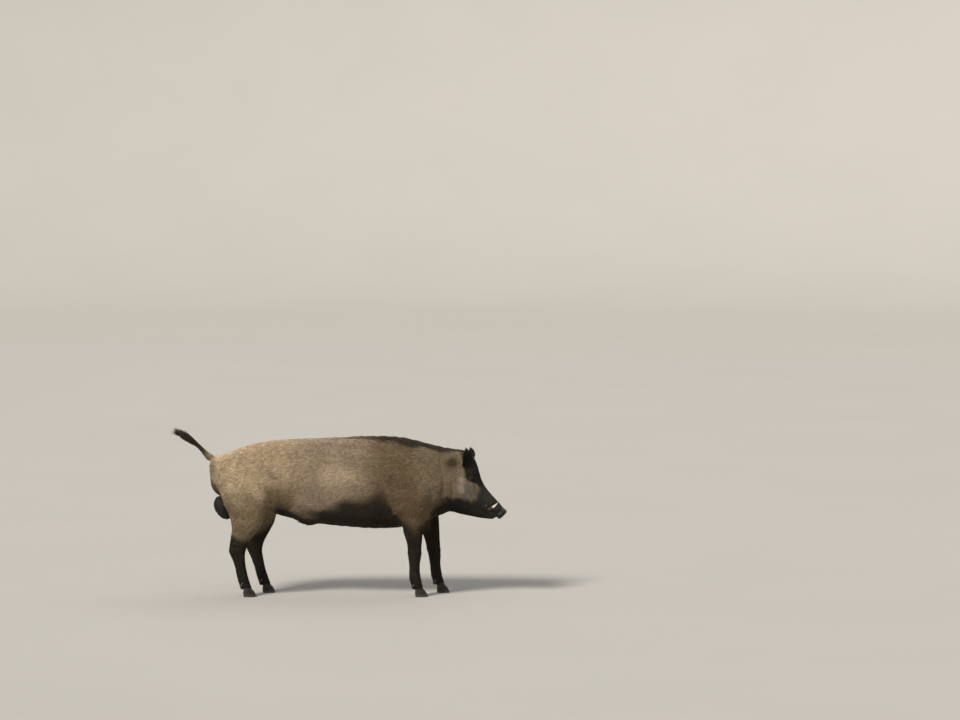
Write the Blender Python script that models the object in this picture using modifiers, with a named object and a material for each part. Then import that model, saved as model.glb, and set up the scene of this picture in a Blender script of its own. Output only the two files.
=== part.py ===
"""A life-size adult male wild boar, walking slowly with its head lowered and its tail raised.

Each part of the body that has a name is one closed solid, out to the tips of the coat.
Metres, +Z up. The boar faces -Y, and its right side is towards -X.
The body is first modelled whole, so that the parts flow into each other. Thin cuts then part it.
"""
import math
from collections import namedtuple

import bmesh
import bpy
from mathutils import Matrix, Vector

# ---- driving dimensions, in metres and degrees ----

COLLECTION_NAME = "wild_boar"
PART_GAP = 0.0004
EAR_GAP = 0.0010
RING_SIDES = 16
BODY_GRAIN = 0.0075
BODY_TRIANGLES = 3080
BODY_SOFTENING = 7
CUT_THICKNESS = 0.0004

HEAD_CENTRE = Vector((0.0, -0.600, 0.560))
HEAD_PITCH = 45.0
HEAD_YAW = 6.0
HEAD_YAW_PIVOT = Vector((0.0, -0.500, 0.560))

EYE_RADIUS = 0.0125
EYE_ALONG = 0.030
EYE_ABOVE = 0.062
EYE_SUNK = 0.0090

EAR_SIDES = 12
EAR_LENGTH = 0.090
EAR_ROOT_ALONG = -0.034
EAR_ROOT_ABOVE = 0.080
EAR_ROOT_ASIDE = 0.062
EAR_BEND = 0.012
NEAR_EAR_LEAN = 0.02
NEAR_EAR_SPREAD = 0.34
FAR_EAR_LEAN = 0.06
FAR_EAR_SPREAD = 0.85

LOWER_TUSK_RADIUS = 0.0085
UPPER_TUSK_RADIUS = 0.0065
TUSK_POINT = 0.0008

DISC_SIDES = 14
DISC_START = 0.246
DISC_ABOVE = 0.033
DISC_THICKNESS = 0.022
DISC_HALF_WIDTH = 0.0420
DISC_HALF_HEIGHT = 0.0280
NOSTRIL_ASIDE = 0.0170
NOSTRIL_RADIUS = 0.0072
NOSTRIL_DEPTH = 0.012

HOOF_SIDES = 10
HOOF_LENGTH = 0.062
HOOF_WIDTH = 0.0275
HOOF_HEIGHT = 0.044
HOOF_CLEFT = 0.003
HOOF_SETBACK = 0.006
HOOF_TOE_OUT = 4.0
DEWCLAW_LENGTH = 0.036
DEWCLAW_RADIUS = 0.0100
DEWCLAW_ASIDE = 0.019
DEWCLAW_BEHIND = 0.032
DEWCLAW_HEIGHT = 0.062

SCROTUM_LOBE = Vector((0.036, 0.042, 0.062))
SCROTUM_PLACE = Vector((0.026, 0.563, 0.430))
SCROTUM_LEAN = -32.0
SCROTUM_GRAIN = 0.006
SHEATH_SWELLING = Vector((0.024, 0.060, 0.026))
SHEATH_PLACE = Vector((0.0, 0.150, 0.368))
SHEATH_SLOPE = 11.0

HIP_HEIGHT = 0.620
REACH_SIDES = 10
REACH_MARGIN = 0.020
REACH_SHOULDER = 0.440
REACH_DOME = 0.085
NEAR_SIDE = -1
FAR_SIDE = 1
DOWNWARD = Vector((0.0, 0.0, -1.0))

# Each trunk section stands across the body: its place along Y, its top, its underside,
# its half width, and the share of its height at which it is widest.
Slice = namedtuple("Slice", "along top bottom half_width widest")
TRUNK_SLICES = (
    Slice(0.630, 0.668, 0.560, 0.048, 0.50),
    Slice(0.610, 0.684, 0.505, 0.088, 0.50),
    Slice(0.558, 0.696, 0.472, 0.126, 0.50),
    Slice(0.470, 0.729, 0.450, 0.153, 0.50),
    Slice(0.370, 0.761, 0.416, 0.164, 0.52),
    Slice(0.245, 0.771, 0.374, 0.172, 0.50),
    Slice(0.110, 0.776, 0.348, 0.184, 0.46),
    Slice(-0.050, 0.782, 0.332, 0.188, 0.44),
    Slice(-0.190, 0.787, 0.322, 0.182, 0.45),
    Slice(-0.310, 0.781, 0.326, 0.172, 0.47),
    Slice(-0.410, 0.758, 0.350, 0.160, 0.50),
    Slice(-0.490, 0.735, 0.388, 0.146, 0.52),
    Slice(-0.560, 0.722, 0.408, 0.128, 0.52),
    Slice(-0.615, 0.716, 0.440, 0.104, 0.55),
    Slice(-0.650, 0.702, 0.480, 0.074, 0.55),
)

# Each head section stands across the line from the back of the skull to the snout:
# its place along that line, how far it rises above and falls below it, and its half width.
Cross = namedtuple("Cross", "along above below half_width")
HEAD_CROSSES = (
    Cross(-0.105, 0.114, 0.060, 0.074),
    Cross(-0.055, 0.141, 0.120, 0.094),
    Cross(-0.010, 0.125, 0.150, 0.107),
    Cross(0.030, 0.105, 0.155, 0.106),
    Cross(0.068, 0.081, 0.144, 0.094),
    Cross(0.105, 0.070, 0.121, 0.076),
    Cross(0.145, 0.067, 0.094, 0.059),
    Cross(0.185, 0.065, 0.068, 0.049),
    Cross(0.218, 0.064, 0.042, 0.043),
    Cross(0.244, 0.063, 0.018, 0.040),
    Cross(0.266, 0.061, 0.008, 0.040),
)

# Each ear section: its share of the ear's length, its half width, half thickness and hollow.
Fold = namedtuple("Fold", "share half_width thickness cup")
EAR_FOLDS = (
    Fold(-0.22, 0.019, 0.0130, 0.000),
    Fold(0.04, 0.026, 0.0120, 0.004),
    Fold(0.20, 0.033, 0.0100, 0.010),
    Fold(0.42, 0.036, 0.0080, 0.013),
    Fold(0.64, 0.032, 0.0065, 0.011),
    Fold(0.82, 0.022, 0.0055, 0.007),
    Fold(0.94, 0.011, 0.0045, 0.003),
    Fold(1.00, 0.003, 0.0030, 0.000),
)

# Each leg section lies level: its height, its rear and front edges along Y,
# its half width and its middle's distance from the body's mid plane.
Level = namedtuple("Level", "height rear front half_width aside")
HIND_LEVELS = (
    Level(0.690, 0.540, 0.330, 0.035, 0.078),
    Level(0.620, 0.574, 0.312, 0.052, 0.096),
    Level(0.550, 0.586, 0.310, 0.061, 0.102),
    Level(0.485, 0.570, 0.324, 0.061, 0.103),
    Level(0.425, 0.541, 0.343, 0.053, 0.101),
    Level(0.363, 0.519, 0.363, 0.044, 0.098),
    Level(0.305, 0.521, 0.402, 0.037, 0.093),
    Level(0.258, 0.533, 0.438, 0.032, 0.090),
    Level(0.218, 0.537, 0.453, 0.030, 0.088),
    Level(0.180, 0.514, 0.454, 0.027, 0.087),
    Level(0.130, 0.499, 0.447, 0.025, 0.086),
    Level(0.088, 0.495, 0.436, 0.028, 0.085),
    Level(0.058, 0.481, 0.426, 0.028, 0.085),
    Level(0.012, 0.470, 0.412, 0.028, 0.085),
)
FORE_LEVELS = (
    Level(0.700, -0.235, -0.360, 0.034, 0.096),
    Level(0.620, -0.240, -0.420, 0.050, 0.112),
    Level(0.540, -0.262, -0.462, 0.060, 0.112),
    Level(0.460, -0.286, -0.454, 0.057, 0.108),
    Level(0.405, -0.300, -0.436, 0.048, 0.102),
    Level(0.363, -0.308, -0.427, 0.042, 0.098),
    Level(0.305, -0.326, -0.418, 0.036, 0.093),
    Level(0.250, -0.339, -0.412, 0.031, 0.090),
    Level(0.205, -0.341, -0.412, 0.031, 0.088),
    Level(0.165, -0.348, -0.404, 0.027, 0.087),
    Level(0.125, -0.350, -0.402, 0.025, 0.086),
    Level(0.086, -0.347, -0.407, 0.029, 0.085),
    Level(0.058, -0.358, -0.415, 0.029, 0.085),
    Level(0.012, -0.370, -0.430, 0.029, 0.085),
)

# A leg's name, its sections, its side, how far its foot is set forward (-) or back (+),
# and where its hock or knee parts the upper leg from the lower one.
Leg = namedtuple("Leg", "name levels side stride parting")
LEGS = (
    Leg("hind_right", HIND_LEVELS, NEAR_SIDE, 0.0, 0.236),
    Leg("hind_left", HIND_LEVELS, FAR_SIDE, -0.085, 0.236),
    Leg("fore_right", FORE_LEVELS, NEAR_SIDE, 0.0, 0.228),
    Leg("fore_left", FORE_LEVELS, FAR_SIDE, -0.105, 0.228),
)

# The tail's middle line, from inside the rump to the end of its tassel, with its radius.
Knot = namedtuple("Knot", "along height radius")
TAIL_KNOTS = (
    Knot(0.590, 0.656, 0.025),
    Knot(0.638, 0.682, 0.021),
    Knot(0.664, 0.712, 0.0150),
    Knot(0.690, 0.739, 0.0135),
    Knot(0.724, 0.764, 0.0165),
    Knot(0.758, 0.784, 0.0205),
    Knot(0.794, 0.797, 0.0190),
    Knot(0.824, 0.806, 0.0060),
)
TAIL_SIDES = 6

# Each cut plane that parts two pieces: a point on it and the way that it faces.
NECK_PARTING = (Vector((0.0, -0.420, 0.560)), Vector((0.0, -0.94, 0.34)))
HEAD_PARTING = (Vector((0.0, -0.566, 0.560)), Vector((0.0, -0.99, 0.10)))
TASSEL_PARTING = (Vector((0.0, 0.716, 0.759)), Vector((0.0, 0.83, 0.56)))

COLOURS = {
    "trunk": ((0.345, 0.250, 0.160), 0.90),
    "neck": ((0.165, 0.115, 0.068), 0.90),
    "head": ((0.110, 0.078, 0.050), 0.88),
    "ear": ((0.018, 0.014, 0.010), 0.90),
    "leg": ((0.060, 0.044, 0.030), 0.90),
    "tail": ((0.050, 0.040, 0.022), 0.90),
    "snout": ((0.022, 0.020, 0.018), 0.45),
    "scrotum": ((0.020, 0.014, 0.011), 0.60),
    "eye": ((0.012, 0.008, 0.006), 0.12),
    "tusk": ((0.620, 0.560, 0.430), 0.35),
    "hoof": ((0.020, 0.017, 0.014), 0.50),
}


# ---- small helpers ----

def clear_scene():
    """Remove every object of the open scene."""
    for old in list(bpy.data.objects):
        bpy.data.objects.remove(old, do_unlink=True)


def build_collection():
    """Return the collection that holds the boar."""
    collection = bpy.data.collections.new(COLLECTION_NAME)
    bpy.context.scene.collection.children.link(collection)
    return collection


def material(name):
    """Return a Principled material with the named colour, made once."""
    found = bpy.data.materials.get(name)
    if found:
        return found
    colour, roughness = COLOURS[name]
    made = bpy.data.materials.new(name)
    made.use_nodes = True
    shader = made.node_tree.nodes["Principled BSDF"]
    shader.inputs["Base Color"].default_value = (*colour, 1.0)
    shader.inputs["Roughness"].default_value = roughness
    shader.inputs["Metallic"].default_value = 0.0
    return made


def object_from_bmesh(name, shape):
    """Turn a bmesh into an object, facing out."""
    bmesh.ops.recalc_face_normals(shape, faces=shape.faces)
    mesh = bpy.data.meshes.new(name)
    shape.to_mesh(mesh)
    shape.free()
    made = bpy.data.objects.new(name, mesh)
    bpy.context.scene.collection.objects.link(made)
    return made


def apply_modifiers(target):
    """Turn an object's modifiers into its own mesh."""
    graph = bpy.context.evaluated_depsgraph_get()
    mesh = bpy.data.meshes.new_from_object(target.evaluated_get(graph))
    target.modifiers.clear()
    target.data = mesh


def triangulate(target):
    """Split a solid's faces into triangles, so that a grown copy of it bends in the same places."""
    shape = bmesh.new()
    shape.from_mesh(target.data)
    bmesh.ops.triangulate(shape, faces=shape.faces)
    shape.to_mesh(target.data)
    shape.free()


def discard(*objects):
    """Remove helper objects that are no longer needed."""
    for item in objects:
        bpy.data.objects.remove(item, do_unlink=True)


def duplicate(source, name):
    """Return a copy of an object with a mesh of its own."""
    made = source.copy()
    made.data = source.data.copy()
    made.name = name
    bpy.context.scene.collection.objects.link(made)
    return made


def grown(source, distance):
    """Return a copy of a solid that is larger by a distance on every side."""
    made = duplicate(source, source.name + "_grown")
    shape = bmesh.new()
    shape.from_mesh(made.data)
    shape.normal_update()
    for vertex in shape.verts:
        vertex.co += vertex.normal * distance
    shape.to_mesh(made.data)
    shape.free()
    return made


def combine(target, other, operation):
    """Change a solid by another one with an exact Boolean."""
    cut = target.modifiers.new(name=operation.title(), type="BOOLEAN")
    cut.operation = operation
    cut.object = other
    cut.solver = "EXACT"
    apply_modifiers(target)


def keep_largest_piece(target):
    """Drop the crumbs that a cut leaves beside the piece itself."""
    shape = bmesh.new()
    shape.from_mesh(target.data)
    unseen = set(shape.verts)
    pieces = []
    while unseen:
        front = [unseen.pop()]
        piece = set(front)
        while front:
            vertex = front.pop()
            for edge in vertex.link_edges:
                neighbour = edge.other_vert(vertex)
                if neighbour in unseen:
                    unseen.discard(neighbour)
                    piece.add(neighbour)
                    front.append(neighbour)
        pieces.append(piece)
    pieces.sort(key=len)
    crumbs = [vertex for piece in pieces[:-1] for vertex in piece]
    bmesh.ops.delete(shape, geom=crumbs, context="VERTS")
    shape.to_mesh(target.data)
    shape.free()


def make_room(body, part, gap=PART_GAP):
    """Hollow a solid where another part sits in it, a gap larger than the part."""
    room = grown(part, gap)
    combine(body, room, "DIFFERENCE")
    discard(room)


def finish_part(collection, part, name, material_name):
    """Name a solid, give it its material and put it in the boar's collection."""
    part.name = name
    part.data.name = name
    part.data.materials.clear()
    part.data.materials.append(material(material_name))
    for face in part.data.polygons:
        face.material_index = 0
    bpy.context.scene.collection.objects.unlink(part)
    collection.objects.link(part)


# ---- rings and lofts ----

def signed_power(value, power):
    """Raise a value to a power and keep its sign."""
    return math.copysign(abs(value) ** power, value)


def ring(centre, right, up, half_width, above, below, squareness=2.2, sides=RING_SIDES):
    """Return the points of one rounded section, which may rise and fall by unlike amounts."""
    points = []
    for step in range(sides):
        angle = math.tau * step / sides
        across = signed_power(math.cos(angle), 2.0 / squareness) * half_width
        lift = signed_power(math.sin(angle), 2.0 / squareness)
        rise = lift * (above if lift > 0.0 else below)
        points.append(centre + right * across + up * rise)
    return points


def loft(name, rings, softness=2):
    """Join rings of points into one closed solid and round it by subdivision."""
    shape = bmesh.new()
    loops = [[shape.verts.new(point) for point in points] for points in rings]
    for first, second in zip(loops, loops[1:]):
        for index in range(len(first)):
            shape.faces.new((first[index - 1], first[index], second[index], second[index - 1]))
    shape.faces.new(loops[0])
    shape.faces.new(loops[-1])
    made = object_from_bmesh(name, shape)
    if softness:
        rounding = made.modifiers.new(name="Softness", type="SUBSURF")
        rounding.levels = softness
        rounding.render_levels = softness
        apply_modifiers(made)
    triangulate(made)
    return made


# ---- the head's own frame ----

def head_axes():
    """Return the head's right, forward and upward directions, with its turn to the side."""
    pitch = math.radians(HEAD_PITCH)
    turn = Matrix.Rotation(math.radians(-HEAD_YAW), 3, "Z")
    right = turn @ Vector((1.0, 0.0, 0.0))
    forward = turn @ Vector((0.0, -math.cos(pitch), -math.sin(pitch)))
    upward = turn @ Vector((0.0, -math.sin(pitch), math.cos(pitch)))
    return right, forward, upward


def head_point(along, above, aside=0.0):
    """Return a point given by its place along, above and beside the head's line."""
    right, forward, upward = head_axes()
    turn = Matrix.Rotation(math.radians(-HEAD_YAW), 3, "Z")
    centre = HEAD_YAW_PIVOT + turn @ (HEAD_CENTRE - HEAD_YAW_PIVOT)
    return centre + forward * along + upward * above + right * aside


# ---- the whole body ----

def trunk_shape():
    """Return the trunk and neck in one loft."""
    across = Vector((1.0, 0.0, 0.0))
    upright = Vector((0.0, 0.0, 1.0))
    rings = []
    for cut in TRUNK_SLICES:
        middle = cut.bottom + cut.widest * (cut.top - cut.bottom)
        centre = Vector((0.0, cut.along, middle))
        rings.append(ring(centre, across, upright, cut.half_width, cut.top - middle, middle - cut.bottom))
    return loft("trunk_shape", rings)


def head_shape():
    """Return the head in one loft, from the back of the skull to the snout."""
    right, _, upward = head_axes()
    rings = []
    for cross in HEAD_CROSSES:
        centre_height = (cross.above - cross.below) / 2.0
        half_height = (cross.above + cross.below) / 2.0
        centre = head_point(cross.along, centre_height)
        rings.append(ring(centre, right, upward, cross.half_width, half_height, half_height))
    return loft("head_shape", rings)


def stride_at(leg, height):
    """Return how far the leg is swung forward or back at a height."""
    return leg.stride * (1.0 - (height / HIP_HEIGHT) ** 2) if height < HIP_HEIGHT else 0.0


def leg_ring(leg, level, extra=0.0, sides=RING_SIDES):
    """Return one level section of a leg, larger by an extra width if asked."""
    swing = stride_at(leg, level.height)
    centre = Vector((leg.side * level.aside, (level.rear + level.front) / 2.0 + swing, level.height))
    half_depth = (level.rear - level.front) / 2.0 + extra
    across = Vector((1.0, 0.0, 0.0))
    backward = Vector((0.0, 1.0, 0.0))
    half_width = level.half_width + extra
    return ring(centre, across, backward, half_width, half_depth, half_depth, sides=sides)


def leg_shape(leg):
    """Return one leg in one loft, from inside the trunk to the hooves."""
    return loft(leg.name + "_shape", [leg_ring(leg, level) for level in leg.levels])


def sheath_shape():
    """Return the low swelling of the male's sheath on the middle of the belly."""
    shape = bmesh.new()
    bmesh.ops.create_uvsphere(shape, u_segments=20, v_segments=12, radius=1.0)
    place = Matrix.Translation(SHEATH_PLACE) @ Matrix.Rotation(math.radians(SHEATH_SLOPE), 4, "X")
    bmesh.ops.transform(shape, matrix=place @ Matrix.Diagonal((*SHEATH_SWELLING, 1.0)), verts=shape.verts)
    return object_from_bmesh("sheath_shape", shape)


def whole_body():
    """Blend trunk, neck, head and legs into one soft body with few faces."""
    shapes = [trunk_shape(), head_shape(), sheath_shape()]
    shapes += [leg_shape(leg) for leg in LEGS]
    shape = bmesh.new()
    for item in shapes:
        shape.from_mesh(item.data)
    body = object_from_bmesh("body", shape)
    discard(*shapes)

    blend = body.modifiers.new(name="Blend", type="REMESH")
    blend.mode = "VOXEL"
    blend.voxel_size = BODY_GRAIN
    soften = body.modifiers.new(name="Soften", type="SMOOTH")
    soften.factor = 0.5
    soften.iterations = BODY_SOFTENING
    apply_modifiers(body)

    thin = body.modifiers.new(name="Thin", type="DECIMATE")
    thin.ratio = BODY_TRIANGLES / (2.0 * len(body.data.polygons))
    thin.use_collapse_triangulate = True
    apply_modifiers(body)
    return body


# ---- parting the body ----

def half_space(name, point, facing, size=1.2):
    """Return a large block that fills the side of a plane that its facing points to."""
    shape = bmesh.new()
    bmesh.ops.create_cube(shape, size=size)
    turn = facing.normalized().to_track_quat("Z", "Y").to_matrix().to_4x4()
    lift = Matrix.Translation((0.0, 0.0, size / 2.0 + CUT_THICKNESS / 2.0))
    bmesh.ops.transform(shape, matrix=Matrix.Translation(point) @ turn @ lift, verts=shape.verts)
    return object_from_bmesh(name, shape)


def part_by_plane(source, name, point, facing):
    """Take the piece beyond a plane off a solid and return it, leaving a thin gap."""
    beyond = half_space("beyond", point, facing)
    before = half_space("before", point, -facing)
    piece = duplicate(source, name)
    combine(piece, beyond, "INTERSECT")
    combine(source, before, "INTERSECT")
    discard(beyond, before)
    keep_largest_piece(piece)
    keep_largest_piece(source)
    return piece


def leg_reach(leg):
    """Return the domed column of space in which the body counts as that leg."""
    levels = [level for level in leg.levels if level.height < REACH_SHOULDER]
    rings = [leg_ring(leg, level, REACH_MARGIN, REACH_SIDES) for level in reversed(levels[::2])]
    rings.insert(0, [point - Vector((0.0, 0.0, REACH_MARGIN * 2.0)) for point in rings[0]])
    top = rings[-1]
    centre = sum(top, Vector()) / len(top)
    for step in range(1, 4):
        rise = math.radians(76.0 * step / 3.0)
        lift = Vector((0.0, 0.0, REACH_DOME * math.sin(rise)))
        rings.append([centre + (point - centre) * math.cos(rise) + lift for point in top])
    return loft(leg.name + "_reach", rings, softness=0)


def part_legs(body):
    """Take the four legs off the body, each parted again at its hock or knee."""
    pieces = {}
    for leg in LEGS:
        reach = leg_reach(leg)
        upper = duplicate(body, "upper")
        combine(upper, reach, "INTERSECT")
        room = grown(reach, PART_GAP)
        combine(body, room, "DIFFERENCE")
        discard(reach, room)
        keep_largest_piece(upper)
        height = Vector((0.0, 0.0, leg.parting))
        lower = part_by_plane(upper, "lower", height, DOWNWARD)
        pieces[leg.name] = (upper, lower)
    keep_largest_piece(body)
    return pieces


# ---- hooves ----

def hoof_ring(toe, heel, half_width, height, shift):
    """Return a hoof section: pointed in front, round behind, flatter on the inner side."""
    points = []
    for step in range(HOOF_SIDES):
        angle = math.tau * step / HOOF_SIDES
        forward = math.cos(angle)
        reach = toe if forward > 0.0 else heel
        narrowing = 1.0 - 0.45 * max(forward, 0.0) ** 2
        across = signed_power(math.sin(angle), 0.8) * half_width * narrowing
        points.append(Vector((across, shift - forward * reach, height)))
    return points


def hoof(name, centre, facing):
    """Return one half of a cloven hoof, its sole flat on the floor."""
    half = HOOF_WIDTH / 2.0
    rings = (
        hoof_ring(HOOF_LENGTH * 0.56, HOOF_LENGTH * 0.40, half * 0.92, 0.0, 0.0),
        hoof_ring(HOOF_LENGTH * 0.56, HOOF_LENGTH * 0.44, half, HOOF_HEIGHT * 0.12, 0.0),
        hoof_ring(HOOF_LENGTH * 0.47, HOOF_LENGTH * 0.43, half * 0.99, HOOF_HEIGHT * 0.50, 0.002),
        hoof_ring(HOOF_LENGTH * 0.36, HOOF_LENGTH * 0.41, half * 0.95, HOOF_HEIGHT, 0.005),
    )
    made = loft(name, rings, softness=0)
    spin = Matrix.Translation(centre) @ Matrix.Rotation(math.radians(facing), 4, "Z")
    made.data.transform(spin)
    return made


def dewclaw(name, root, side):
    """Return one small hind claw, pointing back and down."""
    shape = bmesh.new()
    bmesh.ops.create_cone(shape, cap_ends=True, segments=8, radius1=DEWCLAW_RADIUS,
                          radius2=DEWCLAW_RADIUS * 0.45, depth=DEWCLAW_LENGTH)
    pointing = Vector((side * 0.32, 0.46, -0.83)).normalized()
    turn = pointing.to_track_quat("Z", "Y").to_matrix().to_4x4()
    bmesh.ops.transform(shape, matrix=Matrix.Translation(root) @ turn, verts=shape.verts)
    return object_from_bmesh(name, shape)


def feet(leg, lower):
    """Return the two hooves and two dewclaws of one leg and make room for them in it."""
    ankle = leg.levels[-1]
    swing = stride_at(leg, 0.0)
    middle = Vector((leg.side * ankle.aside, (ankle.rear + ankle.front) / 2.0 + swing - HOOF_SETBACK, 0.0))
    made = {}
    for label, outward in (("inner", -leg.side), ("outer", leg.side)):
        offset = Vector((outward * (HOOF_WIDTH + HOOF_CLEFT) / 2.0, 0.0, 0.0))
        claw = hoof("hoof", middle + offset, -outward * HOOF_TOE_OUT)
        made["hoof_" + leg.name + "_" + label] = claw
        root = middle + Vector((outward * DEWCLAW_ASIDE, DEWCLAW_BEHIND, DEWCLAW_HEIGHT))
        made["dewclaw_" + leg.name + "_" + label] = dewclaw("dewclaw", root, outward)
    discard(part_by_plane(lower, "toes", Vector((0.0, 0.0, HOOF_HEIGHT + CUT_THICKNESS)), DOWNWARD))
    for name, part in made.items():
        if name.startswith("dewclaw"):
            make_room(lower, part)
    keep_largest_piece(lower)
    return made


# ---- parts of the head and tail ----

def ear_ring(centre, aside, facing, half_width, thickness, cup):
    """Return one cupped section of an ear, hollow towards the way it faces."""
    points = []
    for step in range(EAR_SIDES):
        angle = math.tau * step / EAR_SIDES
        across = math.cos(angle)
        depth = math.sin(angle) * thickness * (1.0 - 0.55 * abs(across)) + cup * across * across
        points.append(centre + aside * (across * half_width) + facing * depth)
    return points


def ear(name, side, lean, spread):
    """Return one upright ear that leans forward and spreads outward by given amounts."""
    right, forward, upward = head_axes()
    skyward = (upward * 0.80 - forward * 0.60).normalized()
    ahead = (forward * 0.80 + upward * 0.60).normalized()
    axis = (skyward + ahead * lean + right * side * spread).normalized()
    facing = (ahead + right * side * 0.85)
    facing = (facing - axis * facing.dot(axis)).normalized()
    aside = axis.cross(facing).normalized()
    root = head_point(EAR_ROOT_ALONG, EAR_ROOT_ABOVE, side * EAR_ROOT_ASIDE)
    rings = []
    for fold in EAR_FOLDS:
        bend = facing * (-EAR_BEND * fold.share * fold.share)
        centre = root + axis * (EAR_LENGTH * fold.share) + bend
        rings.append(ear_ring(centre, aside, facing, fold.half_width, fold.thickness, fold.cup))
    return loft(name, rings, softness=0)


def eye(body, name, side):
    """Return one eyeball, sunk into the side of the head."""
    right, _, _ = head_axes()
    outside = head_point(EYE_ALONG, EYE_ABOVE, side * 0.30)
    _, hit, normal, _ = body.ray_cast(outside, -right * side)
    shape = bmesh.new()
    bmesh.ops.create_uvsphere(shape, u_segments=12, v_segments=7, radius=EYE_RADIUS)
    bmesh.ops.transform(shape, matrix=Matrix.Translation(hit - normal * EYE_SUNK), verts=shape.verts)
    return object_from_bmesh(name, shape)


def tusk(name, side, path, radius):
    """Return one curved tusk, from inside the lip to its point."""
    right, forward, upward = head_axes()
    steps = 5
    sides = 6
    rings = []
    for step in range(steps + 1):
        share = step / steps
        along, above, aside = path(share)
        centre = head_point(along, above, side * aside)
        size = radius * (1.0 - share ** 2.2) ** 0.8 + TUSK_POINT
        ahead = forward * 0.9 - upward * 0.1
        outward = right * side
        angles = [math.tau * turn / sides for turn in range(sides)]
        rings.append([centre + ahead * (math.cos(angle) * size) + outward * (math.sin(angle) * size * 0.8)
                      for angle in angles])
    return loft(name, rings, softness=0)


def lower_tusk_path(share):
    """Return the lower tusk's place in the head: out past the lip, then up and slightly back."""
    return (0.189 + 0.016 * math.sin(share * 2.0), -0.004 + 0.070 * share, 0.039 + 0.022 * math.sin(share * 2.5))


def upper_tusk_path(share):
    """Return the upper tusk's place in the head: a short stub that turns up."""
    return (0.172 + 0.004 * share, -0.004 + 0.026 * share, 0.042 + 0.014 * math.sin(share * 1.6))


def snout_disc(head):
    """Cut the head's front off flat and return the snout's disc, with its nostrils, that stands on it."""
    right, forward, upward = head_axes()
    discard(part_by_plane(head, "front", head_point(DISC_START, DISC_ABOVE), forward))
    rings = []
    for share, size in ((0.0, 0.90), (0.22, 1.0), (0.66, 1.0), (1.0, 0.84)):
        along = DISC_START + CUT_THICKNESS + share * DISC_THICKNESS
        centre = head_point(along, DISC_ABOVE)
        rings.append(ring(centre, right, upward, DISC_HALF_WIDTH * size,
                          DISC_HALF_HEIGHT * size, DISC_HALF_HEIGHT * size, 2.5, DISC_SIDES))
    disc = loft("disc", rings, softness=0)
    for side in (-1, 1):
        shape = bmesh.new()
        bmesh.ops.create_cone(shape, cap_ends=True, segments=8, radius1=NOSTRIL_RADIUS * 0.6,
                              radius2=NOSTRIL_RADIUS, depth=NOSTRIL_DEPTH * 2.0)
        place = Matrix((right, upward, forward)).transposed().to_4x4()
        place.translation = head_point(DISC_START + DISC_THICKNESS, DISC_ABOVE + 0.002, side * NOSTRIL_ASIDE)
        oval = Matrix.Diagonal((0.85, 1.15, 1.0, 1.0))
        bmesh.ops.transform(shape, matrix=place @ oval, verts=shape.verts)
        pit = object_from_bmesh("nostril", shape)
        combine(disc, pit, "DIFFERENCE")
        discard(pit)
    return disc


def tail_shape():
    """Return the tail and its tassel in one loft along a raised line."""
    rings = []
    across = Vector((1.0, 0.0, 0.0))
    points = [Vector((0.0, knot.along, knot.height)) for knot in TAIL_KNOTS]
    for index, knot in enumerate(TAIL_KNOTS):
        before = points[max(index - 1, 0)]
        after = points[min(index + 1, len(points) - 1)]
        heading = (after - before).normalized()
        upward = across.cross(heading)
        rings.append(ring(points[index], across, upward, knot.radius, knot.radius, knot.radius,
                          squareness=2.0, sides=TAIL_SIDES))
    return loft("tail", rings, softness=1)


def scrotum_shape():
    """Return the male's scrotum, two soft lobes carried close behind the thighs."""
    shape = bmesh.new()
    for side in (-1, 1):
        lobe = bmesh.ops.create_uvsphere(shape, u_segments=20, v_segments=14, radius=1.0)["verts"]
        size = Matrix.Diagonal((*SCROTUM_LOBE, 1.0))
        lean = Matrix.Rotation(math.radians(SCROTUM_LEAN), 4, "X")
        place = Matrix.Translation((side * SCROTUM_PLACE.x, SCROTUM_PLACE.y, SCROTUM_PLACE.z))
        bmesh.ops.transform(shape, matrix=place @ lean @ size, verts=lobe)
    made = object_from_bmesh("scrotum", shape)
    merge = made.modifiers.new(name="Merge", type="REMESH")
    merge.mode = "VOXEL"
    merge.voxel_size = SCROTUM_GRAIN
    soften = made.modifiers.new(name="Soften", type="SMOOTH")
    soften.factor = 0.5
    soften.iterations = 3
    thin = made.modifiers.new(name="Thin", type="DECIMATE")
    thin.ratio = 0.06
    apply_modifiers(made)
    triangulate(made)
    return made


# ---- the whole boar ----

def stand_on_origin(collection):
    """Shift the boar so that the middle of its footprint is at the origin, feet on the floor."""
    points = [vertex.co for part in collection.objects for vertex in part.data.vertices]
    middle_x = (min(point.x for point in points) + max(point.x for point in points)) / 2.0
    middle_y = (min(point.y for point in points) + max(point.y for point in points)) / 2.0
    floor = min(point.z for point in points)
    shift = Matrix.Translation((-middle_x, -middle_y, -floor))
    for part in collection.objects:
        part.data.transform(shift)


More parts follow.
